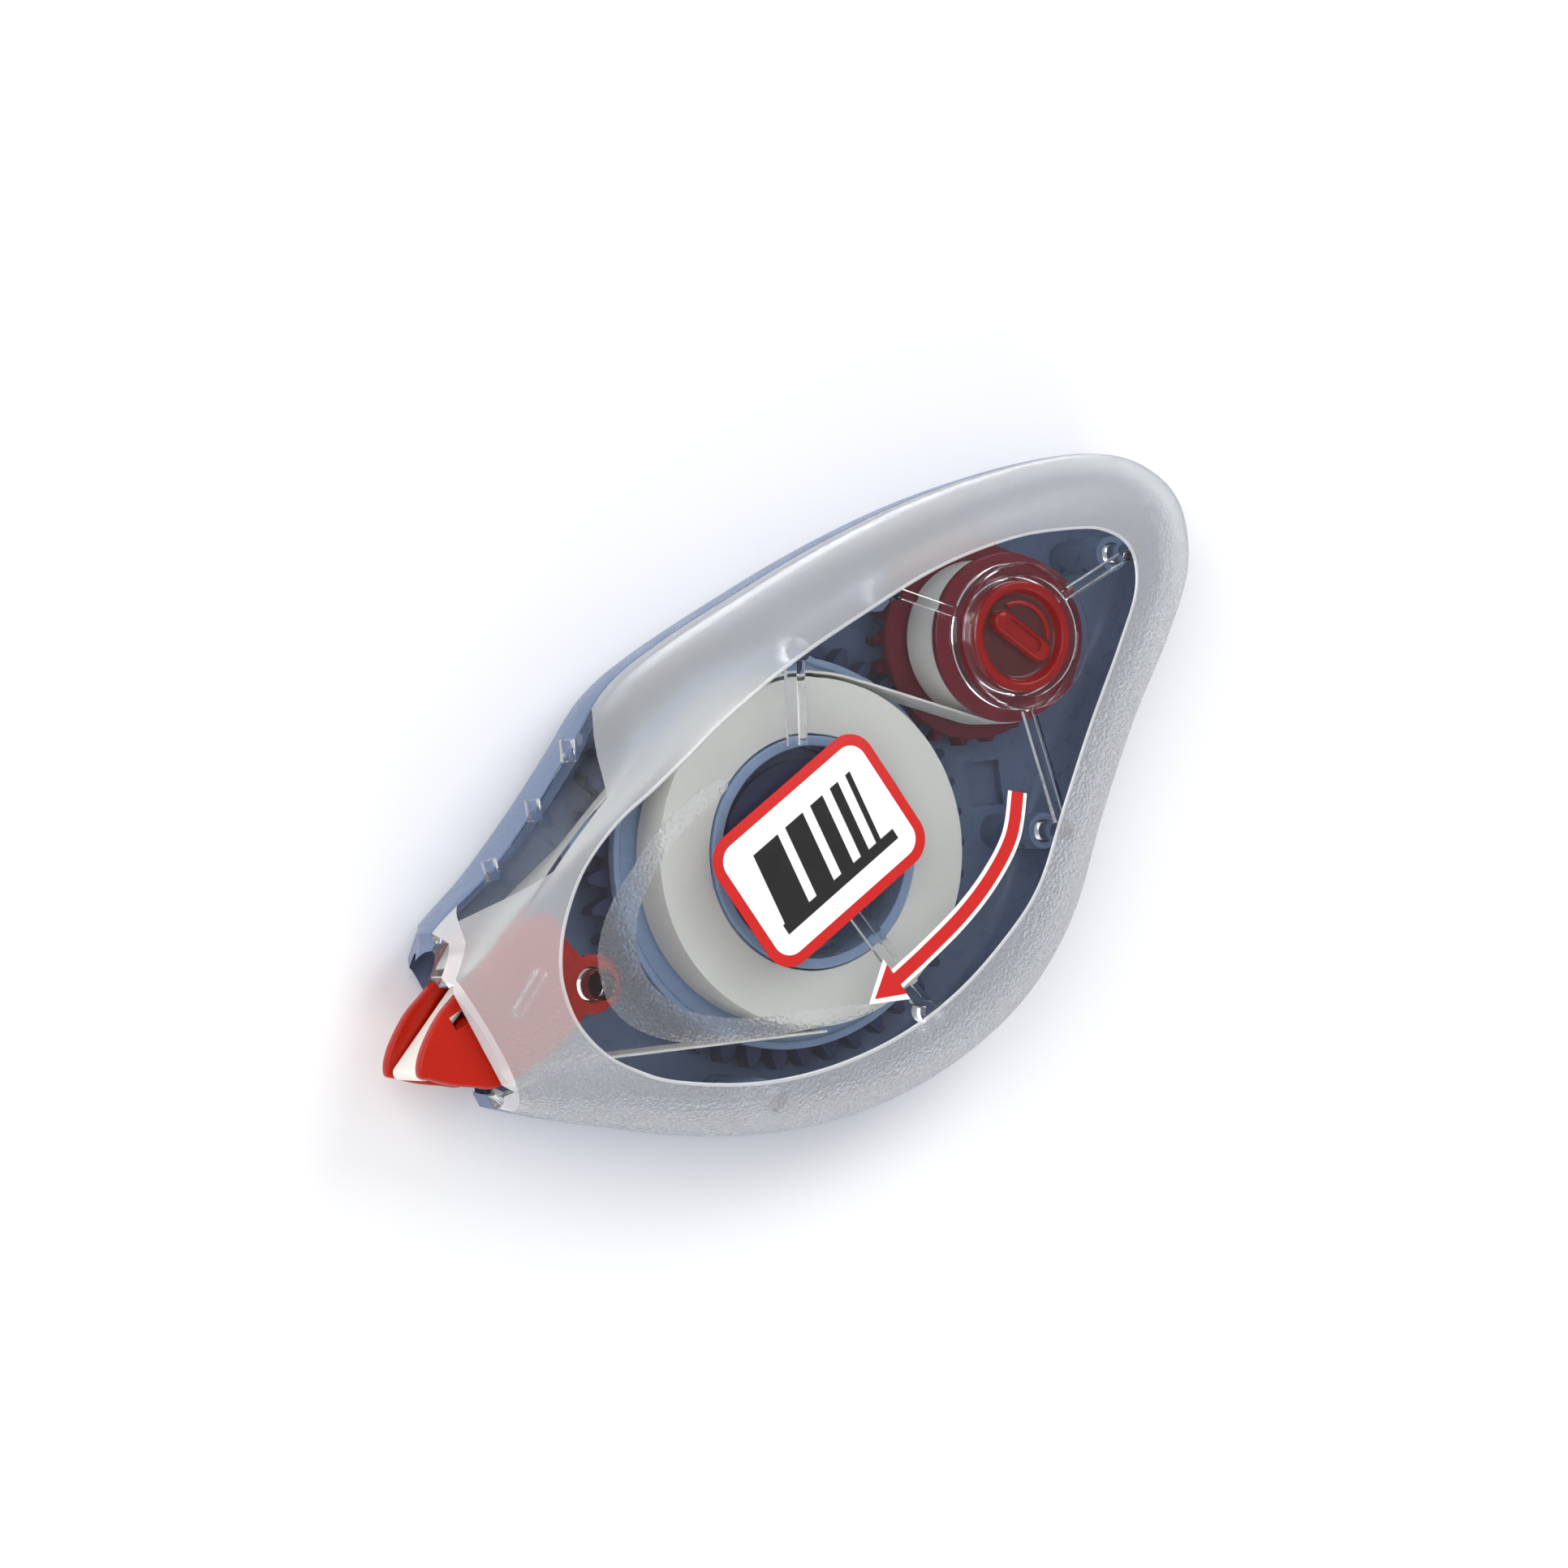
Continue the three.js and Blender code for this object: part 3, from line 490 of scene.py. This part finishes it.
# Frosted crescent in the window: its outer edge, then its inner edge back.
CRESCENT = [
    (-5.6, 10.0), (-6.6, 10.7), (-10.3, 10.5), (-13.8, 9.8), (-16.7, 8.6), (-19.1, 7.6),
    (-21.2, 6.2), (-22.9, 4.4), (-23.8, 2.0),
    (-23.9, 0.4), (-23.3, -1.6), (-21.9, -3.6), (-20.0, -5.4), (-17.6, -7.0), (-14.6, -8.5),
    (-10.0, -10.6), (-5.8, -12.2), (-3.8, -12.7), (-4.2, -11.8), (-8.6, -9.6), (-12.4, -7.8), (-15.4, -6.0),
    (-18.2, -3.6), (-19.4, -1.6), (-20.0, 0.5), (-19.8, 2.5), (-18.6, 4.7), (-16.8, 6.3), (-13.8, 7.9),
    (-9.8, 9.0), (-6.4, 9.4),
]


def shell(side, rim_z):
    """One hollow shell, open where it meets the other."""
    share = 1.0 if side > 0 else BACK_INSET
    rise = abs((FACE_Z if side > 0 else 0.0) - rim_z)
    count = len(RIM)
    mesh = bmesh.new()

    def ring(degrees, skin, offset=0.0, inset=0.0):
        found = []
        for i in range(count):
            x, y, lift = shoulder(i, math.radians(degrees), skin, share, rise - skin, side > 0)
            (fx, fy), (rx, ry) = FACE[i], RIM[i]
            span = math.hypot(fx - rx, fy - ry)
            x, y = x + (fx - rx) / span * inset, y + (fy - ry) / span * inset
            found.append(mesh.verts.new((x, y, rim_z + side * (lift + offset))))
        return found

    # how many bands up from the parting line the scallop's clear area reaches at each sample
    first, last = math.ceil(SCALLOP_START * STEPS_PER_POINT), math.floor(SCALLOP_END * STEPS_PER_POINT)
    clear_bands = [max(0, min(CREASE_BAND, i - first, last - i)) for i in range(count)]

    def band(low, high, level=None):
        for i in range(count):
            j = (i + 1) % count
            quad = (low[i], low[j], high[j], high[i])
            if level is None or side < 0:
                mesh.faces.new(quad)
                continue
            a, b = clear_bands[i], clear_bands[j]
            if level < min(a, b) or level >= max(a, b):
                mesh.faces.new(quad).material_index = CLEAR if level < min(a, b) else FROST
                continue
            # the border runs across this face, corner to corner
            under, over = ((0, 1, 2), (0, 2, 3)) if b > a else ((0, 1, 3), (1, 2, 3))
            mesh.faces.new([quad[k] for k in under]).material_index = CLEAR
            mesh.faces.new([quad[k] for k in over]).material_index = FROST

    # outside, from the parting line to the flat
    rings = [ring(0, 0, 0.0, SHELL_LIP), ring(0, 0, SHELL_LIP)]
    rings += [ring(d, 0) for d in (8, 13, 18, 24, 30, 37, 44, 51, 58, 64.9, 65.1, 71, 77, 83, 90)]
    for k in range(len(rings) - 1):
        band(rings[k], rings[k + 1], k)
    if side > 0:
        # a low bead round the window, given the whitish material as a painted highlight line
        for offset, inset in ((0.10, 0.10), (0.10, 0.24), (0.0, 0.34)):
            rings.append(ring(90, 0, offset, inset))
            band(rings[-2], rings[-1])
        mesh.faces.ensure_lookup_table()
        for face in mesh.faces[-3 * count:]:
            face.material_index = PAINTED_HIGHLIGHT
    edge = rings[-1]
    # inside
    inner = [ring(0, WALL, 0.0)] + [ring(d, WALL) for d in (10, 20, 31, 42, 53, 64.9, 65.1, 77, 90)]
    band(inner[0], rings[0])
    for low, high in zip(inner, inner[1:]):
        band(high, low)
    mesh.faces.new(inner[-1])

    if side < 0:
        mesh.faces.new(edge)
        return object_from("shell", mesh)

    # the window, with the frosted crescent standing slightly proud of it
    loop = spline(CRESCENT, 4)
    points = [Vector(v.co.to_2d()) for v in edge] + [Vector(p) for p in loop]
    rows = [list(range(count)), list(range(count, len(points)))]
    flat, _, triangles, _, _, sources = delaunay_2d_cdt(points, [], rows, 1, 1e-5)
    made = [mesh.verts.new((p.x, p.y, FACE_Z)) for p in flat]
    patch = []
    for triangle, source in zip(triangles, sources):
        face = mesh.faces.new([made[k] for k in triangle])
        if 1 in source:
            face.material_index = THIN_FROST
            patch.append(face)
    bmesh.ops.remove_doubles(mesh, verts=mesh.verts, dist=1e-4)
    raised = bmesh.ops.extrude_face_region(mesh, geom=[f for f in patch if f.is_valid])
    lifted = [v for v in raised["geom"] if isinstance(v, bmesh.types.BMVert)]
    bmesh.ops.translate(mesh, vec=(0, 0, CRESCENT_RISE), verts=lifted)
    bmesh.ops.delete(mesh, geom=[f for f in patch if f.is_valid], context="FACES_ONLY")
    return object_from("shell", mesh)


def nose_cutter(shift_low, shift_high):
    """Everything beyond the nose. The cut slopes from one shift to the other over the height."""
    (cx, cy), (ex, ey) = NOSE_CORNER, NOSE_CHAMFER_END
    rings = []
    for z, shift in ((-1.0, shift_low), (5.2, 0.0), (11.2, 0.0), (14.5, shift_high)):
        rings.append([(x, y, z) for x, y in (
            (-46, -12), (NOSE_X + shift, -12), (NOSE_X + shift, 0), (cx + shift, cy), (ex + shift, ey),
            (ex + shift + 1, ey + 4), (-46, 20),
        )])
    return from_rings("nose", rings)


def highlight_nose_band(obj):
    """Makes a band along the cover's nose with clean edges: clear on its sides, with the painted highlight
    material on its upward faces.
    """
    (cx, cy), (ex, ey) = NOSE_CORNER, NOSE_CHAMFER_END
    length = math.hypot(ex - cx, ey - cy)
    planes = [
        (Vector((NOSE_X + NOSE_BAND, 0, 0)), Vector((-1, 0, 0))),
        (Vector((cx, cy, 0)) + Vector((ey - cy, cx - ex, 0)) / length * NOSE_BAND,
         Vector((cy - ey, ex - cx, 0)) / length),
    ]
    mesh = bmesh.new()
    mesh.from_mesh(obj.data)
    for place, normal in planes:
        bmesh.ops.bisect_plane(mesh, geom=mesh.verts[:] + mesh.edges[:] + mesh.faces[:], dist=1e-7,
                               plane_co=place * MM, plane_no=normal)
    for face in mesh.faces:
        middle = face.calc_center_median()
        if any((middle - place * MM).dot(normal) > 1e-7 for place, normal in planes):
            # upward faces take the painted highlight, the rest stay clear
            face.material_index = PAINTED_HIGHLIGHT if face.normal.z > 0.1 else CLEAR
    mesh.to_mesh(obj.data)
    mesh.free()


def mouth_cutters():
    def box(y0, y1, bottom, top):
        return prism([(-42, y0), (-31, y0), (-31, y1), (-42, y1)], bottom, top, 0.0)
    return [
        box(-1.3, 8.7, CHEEK_LOW - 0.5, TAPE_LOW + 0.1),
        box(0.2, 6.9, TAPE_LOW, TAPE_HIGH),
        box(-1.3, 8.7, TAPE_HIGH - 0.1, CHEEK_HIGH + 0.5),
    ]


def back_shell():
    body = shell(-1, PARTING - SHELL_GAP)
    parts = [
        disc(SUPPLY_POST_R, 1, 11), disc(TAKE_UP_POST_R, 1, 9.2, TAKE_UP),
        disc(4.2, 1, 1.7), disc(3.2, 1, 1.7, TAKE_UP),
    ]
    parts += [tube(SOCKET_R, SOCKET_BORE_R, 1, SOCKET_TOP, peg, segments=64) for peg in PEGS]
    parts.append(tube(2.5, 1.45, 1, CHEEK_LOW - 0.3, PIVOT, segments=96))
    combine(body, "UNION", *parts)
    for material in (SMOKE_BLUE, NAVY):
        body.data.materials.append(material)
    # a shallow well whose faces take the navy, darker than the shell around it: painted shade in the recess
    shade_well = prism([(20.6, -4.0), (23.4, -5.4), (22.0, -8.9), (19.2, -7.5)], 0.4, 1.6, 0.0, material=1)
    combine(body, "DIFFERENCE", disc(1.6, 3, 11.5), shade_well, nose_cutter(NOSE_UNDERCUT, 0.0), *mouth_cutters())
    return finish("back_shell_moulding", body, [], "housing", ["back_shell"])


def front_cover():
    under = FACE_Z - WALL
    rib_low = TAPE_HIGH + 0.6
    body = shell(1, PARTING + SHELL_GAP)
    for material in (COVER_CLEAR, COVER_FROST, COVER_THIN_FROST, COVER_PAINTED_HIGHLIGHT):
        body.data.materials.append(material)

    def rib(start, end, bottom=rib_low):
        return wall(start, end, 0.8, bottom, under + 0.4)

    parts = [
        rib((-0.3, -3.7), (1.5, -16.2)), rib((2.4, 8.6), (6.2, 15.2)),
        rib((30.2, 6.0), (37.9, 5.7), 11), rib((22.4, -0.2), (20.1, -10.4), 11),
        rib((20.9, 9.9), (16.6, 14.6), 11), rib((-27.0, 5.6), (-30.6, 3.9), 11.1),
        tube(RING_R, RING_BORE_R, RING_LOW, high_mm("front_cover").z, TAKE_UP, 0.3),
        disc(1.45, 8, under + 0.4, segments=64), disc(1.25, 9.0, under + 0.4, PIVOT, 0.3, 64),
    ]
    parts += [disc(PEG_R, PEG_LOW, under + 0.4, peg, segments=48) for peg in PEGS]
    parts += [disc(0.95, rib_low, under + 0.4, end, segments=48) for end in ((1.5, -16.2), (6.2, 15.2))]
    for x, y, lean in ((-14.2, 17.9, 0.5), (-19.3, 15.5, 0.42), (-25.0, 13.5, 0.3)):
        outer, inner = (x + 1.1 * lean, y + 1.1), (x - 0.5 * lean, y - 0.5)
        parts.append(wall(outer, inner, 1.1, PARTING + 0.05, PARTING + 1.1, 0.3))
    combine(body, "UNION", *parts)
    knob_bore = disc(RING_BORE_R, 10, FACE_Z + 1, TAKE_UP, 0.0)
    combine(body, "DIFFERENCE", knob_bore, nose_cutter(0.0, NOSE_BEVEL), *mouth_cutters())
    highlight_nose_band(body)
    return finish("front_cover_moulding", body, [], "housing", ["front_cover"])


# ---------------------------------------------------------------- reels

GEAR_MODULE = 0.8
SUPPLY_TEETH, TAKE_UP_TEETH = 43, 20
PRESSURE_ANGLE = math.radians(20)
TOOTH_RELIEF = 0.12                        # taken off each tooth's width
CENTRE_ANGLE = math.atan2(TAKE_UP.y, TAKE_UP.x)
GEAR_HIGH = GEAR_LOW + 1.8
FLANGE_HIGH = FLANGE_LOW + 0.7


def gear_outline(teeth, start, centre=(0, 0)):
    """An involute gear's outline with its first tooth centred on `start`."""
    pitch = GEAR_MODULE * teeth / 2
    base = pitch * math.cos(PRESSURE_ANGLE)
    tip, root = pitch + GEAR_MODULE, pitch - 1.25 * GEAR_MODULE

    def involute(r):
        t = math.sqrt(max((r / base) ** 2 - 1, 0))
        return t - math.atan(t)

    half = math.pi / (2 * teeth) - TOOTH_RELIEF / (2 * pitch) + involute(pitch)
    foot = max(base, root)
    flank = [(root, half - involute(foot) + 0.02)] if root < base else []
    flank += [(foot + (tip - foot) * k / 4, half - involute(foot + (tip - foot) * k / 4)) for k in range(5)]
    points = []
    for tooth in range(teeth):
        middle = start + 2 * math.pi * tooth / teeth
        points += [along(centre, middle - angle, r) for r, angle in flank]
        points += [along(centre, middle + angle, r) for r, angle in reversed(flank)]
    return points


def reels():
    teeth = prism(gear_outline(SUPPLY_TEETH, CENTRE_ANGLE), GEAR_LOW, GEAR_HIGH, 0.06)
    combine(teeth, "UNION", disc(5.0, GEAR_LOW, 9.4))
    windows = [disc(2.4, 1, 5, along((0, 0), math.pi / 3 * i, 10.6), 0.0, 64) for i in range(6)]
    combine(teeth, "DIFFERENCE", disc(3.1, 1, 11, (0, 0), 0.0), *windows)
    finish("supply_gear_wheel", teeth, [NAVY], "supply_drive", ["supply_gear"])

    core = turned(rounded([
        (6.2, FLANGE_LOW), (16.2, FLANGE_LOW), (16.2, FLANGE_HIGH + 0.3), (15.6, FLANGE_HIGH + 0.3),
        (15.5, FLANGE_HIGH), (9.45, FLANGE_HIGH), (9.45, 9.7), (8.6, 9.7), (8.6, FLANGE_HIGH),
        (7.0, FLANGE_HIGH), (7.0, 7.2), (6.2, 7.2),
    ], 0.12), segments=192)
    finish("supply_reel_core", core, [PALE_BLUE], "supply_reel", ["supply_core"])
    pack = tube(PACK_R, 9.6, TAPE_LOW, TAPE_HIGH, edge=0.12, segments=192)
    finish("tape_pack_winding", pack, [WOUND_TAPE], "supply_reel", ["tape_pack"])
    retainer = tube(7.6, 5.1, 7.5, 8.2, edge=0.15)
    finish("core_retainer_ring", retainer, [NAVY], "supply_drive", ["core_retainer"])
    clutch = turned([(5.6 + 0.45 * math.cos(2 * math.pi * k / 24), 6 + 0.45 * math.sin(2 * math.pi * k / 24))
                     for k in range(24)])
    finish("clutch_o_ring", clutch, [RUBBER], "supply_drive", ["clutch_ring"])

    start = CENTRE_ANGLE + math.pi + math.pi / TAKE_UP_TEETH
    gear = prism(gear_outline(TAKE_UP_TEETH, start, TAKE_UP), GEAR_LOW, GEAR_HIGH, 0.06)
    hub = disc(4.2, GEAR_LOW, 9.6, TAKE_UP)
    rear_flange = disc(8.3, FLANGE_LOW, FLANGE_HIGH, TAKE_UP, 0.15, 144)
    combine(gear, "UNION", hub, rear_flange)
    combine(gear, "DIFFERENCE", disc(1.9, 1, 9.3, TAKE_UP, 0.0), disc(2.5, 9.2, 10, TAKE_UP, 0.0))
    finish("take_up_gear_wheel", gear, [MAROON], "take_up_reel", ["take_up_gear"])
    tape = tube(6.6, 4.35, TAPE_LOW, TAPE_HIGH, TAKE_UP, 0.12)
    finish("take_up_winding", tape, [TAPE], "take_up_reel", ["take_up_tape"])
    flange = turned(rounded([(2.6, 9.75), (7.0, 9.75), (7.0, 10.5), (2.6, 10.5)], 0.2), TAKE_UP)
    finish("take_up_front_flange", flange, [MAROON], "take_up_reel", ["take_up_flange"])


def knob():
    cup = turned(rounded([
        (0, 9.5), (2.35, 9.5), (2.35, 10.7), (4.55, 10.7),
        (4.55, 12.95), (3.75, 12.95), (3.45, 11.9), (0, 11.9),
    ], 0.22), TAKE_UP)
    for material in (KNOB_RED, KNOB_RECESS_SHADE):
        cup.data.materials.append(material)
    # the cup's floor inside the rim takes the darker red: painted shade
    for face in cup.data.polygons:
        middle = face.center / MM
        if 11.8 < middle.z < 12.0 and (middle.to_2d() - TAKE_UP).length < 3.5:
            face.material_index = 1
    angle = math.radians(-65)
    outline = arc((2.1, 0), 0.95, -math.pi / 2, math.pi / 2, 16)
    outline += arc((-2.1, 0), 0.95, math.pi / 2, 3 * math.pi / 2, 16)
    turn = Matrix.Rotation(angle, 2)
    bar = prism([tuple(turn @ Vector(p) + TAKE_UP) for p in outline], 11.6, 12.95, 0.3)
    # the dish cut into the bar leaves faces in the darker red: painted shade
    dish = prism([tuple(turn @ (Vector(p) * 0.66) + TAKE_UP) for p in outline], 12.55, 13.4, 0.0, 1)
    combine(cup, "UNION", bar)
    combine(cup, "DIFFERENCE", dish)
    ridge = arc(TAKE_UP, 2.95, angle + 0.5, angle + 2.6, 30)
    ridge += arc(TAKE_UP, 2.55, angle + 2.6, angle + 0.5, 30)
    combine(cup, "UNION", prism(ridge, 11.6, 12.3, 0.1))
    finish("tension_knob_cup", cup, [], "take_up_reel", ["tension_knob"])


# ---------------------------------------------------------------- tip and tape runs

BLADE = (low_mm("tip_head").x + 0.1, 3.75)
BLADE_UPPER, BLADE_LOWER = math.radians(20), math.radians(-26.3)
TAPE_GUIDE = (-24.7, 8.3)


def cheek_outline():
    eye = arc(PIVOT, 2.4, math.pi * 0.45, -math.pi * 0.75, 24)
    upper = [
        (-39.2, 3.3), (-39.8, 3.9), (-39.5, 4.7), (-38.6, 5.6), (-37.2, 6.5), (-35.6, 7.25), (-33.9, 7.7),
        (-30.4, 8.6), (-26.6, 9.4), (-24.4, 9.2), (-23.2, 8.2), (-23.4, 6.4), eye[0],
    ]
    lower = [eye[-1], (-26.4, 0.0), (-30.2, -0.5), (-34.4, -0.4), (-36.2, 0.7), (-38.0, 2.1), (-39.2, 3.3)]
    return spline(upper, 4, False)[:-1] + eye + spline(lower, 4, False)[1:-1]


def tip():
    outline = cheek_outline()
    back = prism(outline, CHEEK_LOW, CHEEK_LOW + 1.0, 0.22)
    front = prism(outline, CHEEK_HIGH - 1.0, CHEEK_HIGH, 0.22)
    nose = (BLADE[0] + 0.45, BLADE[1])
    core = prism([
        along(nose, BLADE_UPPER, 0.2), along(nose, BLADE_LOWER, 0.2), along(nose, BLADE_LOWER, 5.2),
        (-30.4, 1.2), (-26.0, 0.6), (-24.0, 0.4), (-23.3, 4.3), (-26.0, 4.6), (-30.4, 5.4),
        along(nose, BLADE_UPPER, 5.4),
    ], CHEEK_LOW + 0.3, CHEEK_HIGH - 0.3, 0.0)
    guide = disc(0.9, CHEEK_LOW + 0.3, CHEEK_HIGH - 0.3, TAPE_GUIDE, 0.0)
    eye = disc(2.3, CHEEK_LOW + 0.3, CHEEK_HIGH - 0.3, PIVOT, 0.0)
    combine(back, "UNION", front, core, guide, eye)
    notch = prism([(-35.3, 5.4), (-33.4, 5.4), (-33.4, 6.6), (-35.3, 6.6)], CHEEK_HIGH - 1.1, 12, 0.0)
    combine(back, "DIFFERENCE", disc(1.45, 8.8, 13, PIVOT, 0.0), notch)
    finish("tip_head_moulding", back, [RED], "tip", ["tip_head"])


WEB = 0.2


def tangent_point(start, centre, radius, side):
    distance = math.dist(start, centre)
    heading = math.atan2(centre[1] - start[1], centre[0] - start[0]) - side * math.asin(radius / distance)
    return along(start, heading, math.sqrt(distance ** 2 - radius ** 2))


def tape_runs():
    bend_r = 0.25 + 0.245
    centre = (BLADE[0] + 0.75, BLADE[1])
    bend = arc(centre, bend_r, BLADE_LOWER - math.pi / 2, BLADE_UPPER - 3 * math.pi / 2, 16)
    line = [along(bend[0], BLADE_LOWER, 8.2), *bend, along(bend[-1], BLADE_UPPER, 8.2)]
    finish("tip_tape_loop", strip(line, WEB, TAPE_LOW, TAPE_HIGH), [TAPE], "tip", ["tip_tape"])

    pack = PACK_R + 0.3 + WEB / 2
    start = along((BLADE[0] + 0.3, BLADE[1] - 0.4), BLADE_LOWER, 9.4)
    feed = strip([start, tangent_point(start, (0, 0), pack, 1)], WEB, TAPE_LOW, TAPE_HIGH)
    finish("feed_tape_run", feed, [TAPE], "housing", ["feed_web"])

    reel = 6.6 + 0.3 + WEB / 2
    start = along((BLADE[0] + 0.3, BLADE[1] + 0.4), BLADE_UPPER, 9.4)
    on_guide = along(TAPE_GUIDE, math.pi / 2 + BLADE_UPPER * 0.8, 0.9 + 0.45 + WEB / 2)
    touch = tangent_point(on_guide, (0, 0), pack, -1)
    distance = TAKE_UP.length
    leave = CENTRE_ANGLE + math.acos((pack + reel) / distance)
    over = arc((0, 0), pack, math.atan2(touch[1], touch[0]), leave, 48)
    under = arc(TAKE_UP, reel, leave + math.pi, leave + math.pi * 1.25, 24)
    back = strip([start, on_guide, *over, *under], WEB, TAPE_LOW, TAPE_HIGH)
    finish("return_tape_run", back, [TAPE], "housing", ["return_web"])


# ---------------------------------------------------------------- label and arrow

LABEL = centre_mm("label_border").to_2d()
LABEL_TURN = Matrix.Rotation(math.radians(5.4), 2)
INK = 0.05


def on_label(points):
    """Points of the label's own plan, placed on the window."""
    return [tuple(LABEL_TURN @ Vector(p) + LABEL) for p in points]


def plate(half_length, half_width, radius):
    """A rectangle with round corners, on the label's plan."""
    points = []
    for quarter, (sx, sy) in enumerate(((1, 1), (-1, 1), (-1, -1), (1, -1))):
        corner = (sx * (half_length - radius), sy * (half_width - radius))
        points += arc(corner, radius, quarter * math.pi / 2, (quarter + 1) * math.pi / 2, 12)
    return on_label(points)


def label():
    border = prism(plate(8.9, 6.2, 2.4), FACE_Z + 0.005, FACE_Z + INK, 0.02)
    finish("label_border_print", border, [INK_RED], "housing", ["label_border"])
    field = prism(plate(8.0, 5.3, 1.6), FACE_Z + INK, FACE_Z + 2 * INK, 0.02)
    finish("label_field_print", field, [INK_WHITE], "housing", ["label_field"])
    low, high = FACE_Z + 2 * INK, FACE_Z + 3 * INK
    mark = prism(on_label([(-6.4, -3.6), (6.4, -3.6), (6.4, -2.7), (-6.4, -2.7)]), low, high, 0.0)
    bars = [
        prism(on_label([(x, -2.8), (x + width, -2.8), (x + width + 1, 3.4), (x + 1, 3.4)]), low, high, 0.0)
        for x, width in ((-6.2, 2.8), (-2.5, 2.0), (0.4, 1.4), (2.7, 0.9), (4.5, 0.5))
    ]
    combine(mark, "UNION", *bars)
    finish("label_emblem_print", mark, [INK_BLACK], "housing", ["label_emblem"])


def arrow(name, grow, low, high, material, node):
    """A curved arrow along the window's edge, `grow` wider all round than the plain one."""
    points = [(17.2, -4.9), (14.8, -7.6), (11.4, -9.4), (7.4, -10.6), (3.0, -11.3), (-0.6, -11.7)]
    spine = spline(points, 10, False)
    half = 0.55 + grow
    normals = normals_of(spine, False)
    left = [(x - nx * half, y - ny * half) for (x, y), (nx, ny) in zip(spine, normals)]
    right = [(x + nx * half, y + ny * half) for (x, y), (nx, ny) in zip(spine, normals)]
    (ex, ey), (nx, ny) = spine[-1], normals[-1]
    dx, dy = -ny, nx
    wing = 1.5 + grow * 1.6
    head = [(ex + wing * nx, ey + wing * ny), (ex + dx * (2.6 + 2 * grow), ey + dy * (2.6 + 2 * grow)),
            (ex - wing * nx, ey - wing * ny)]
    finish(name, prism(right + head + left[::-1], low, high, 0.0), [material], "housing", [node])


# ---------------------------------------------------------------- stage

def stage():
    mesh = bmesh.new()
    bmesh.ops.create_grid(mesh, x_segments=8, y_segments=8, size=3.0)
    data = bpy.data.meshes.new("floor")
    mesh.to_mesh(data)
    mesh.free()
    floor = bpy.data.objects.new("floor", data)
    bpy.context.scene.collection.objects.link(floor)
    floor.location.z = CAD_BOUNDS[0][2] - 0.0002
    paper = plastic("floor_paper", srgb(246, 246, 247), 0.7, vary=0.005, bump=0.05, grain=2.0, specular=0.2)
    data.materials.append(paper)

    world = bpy.data.worlds.new("studio")
    bpy.context.scene.world = world
    world.use_nodes = True
    world.node_tree.nodes["Background"].inputs["Color"].default_value = (0.96, 0.98, 1.0, 1.0)
    world.node_tree.nodes["Background"].inputs["Strength"].default_value = 0.5

    def softbox(name, place, aim, size, power):
        light = bpy.data.lights.new(name, "AREA")
        light.shape, light.size, light.size_y, light.energy = "RECTANGLE", size[0], size[1], power
        lamp = bpy.data.objects.new(name, light)
        bpy.context.scene.collection.objects.link(lamp)
        lamp.location = place
        lamp.rotation_mode = "QUATERNION"
        lamp.rotation_quaternion = (Vector(aim) - Vector(place)).to_track_quat("-Z", "Y")

    softbox("key", (-0.35, 0.42, 0.5), (0, 0, 0), (0.5, 0.5), 3.0)
    softbox("fill", (0.5, 0.25, 0.45), (0, 0, 0), (0.4, 0.5), 2.4)
    softbox("low", (-0.2, -0.55, 0.35), (0, 0, 0), (0.6, 0.3), 1.6)
    bpy.context.scene.view_settings.view_transform = "Standard"


CAMERA_TARGET = Vector((2.0, 5.28, 7.0))   # millimetres
CAMERA_DISTANCE = 0.56                     # metres
CAMERA_LENS = 158.6


def camera():
    data = bpy.data.cameras.new("camera")
    data.lens, data.sensor_width = CAMERA_LENS, 36.0
    data.clip_start, data.clip_end = 0.05, 10.0
    obj = bpy.data.objects.new("camera", data)
    bpy.context.scene.collection.objects.link(obj)
    back = Vector((-0.433, 0.250, 0.866)).normalized()
    aim = Vector((0.5299, 0.8480, 0.0))
    up = (aim - back * aim.dot(back)).normalized()
    right = up.cross(back)
    turn = Matrix((right, up, back)).transposed()
    place = CAMERA_TARGET * MM + back * CAMERA_DISTANCE
    obj.matrix_world = Matrix.Translation(place) @ turn.to_4x4()
    bpy.context.scene.camera = obj


camera()
back_shell()
front_cover()
reels()
knob()
tip()
tape_runs()
label()
arrow("arrow_outline_print", 0.35, FACE_Z + 0.005, FACE_Z + INK, INK_WHITE, "arrow_outline")
arrow("arrow_mark_print", 0.0, FACE_Z + INK, FACE_Z + 2 * INK, INK_RED, "arrow_mark")
stage()
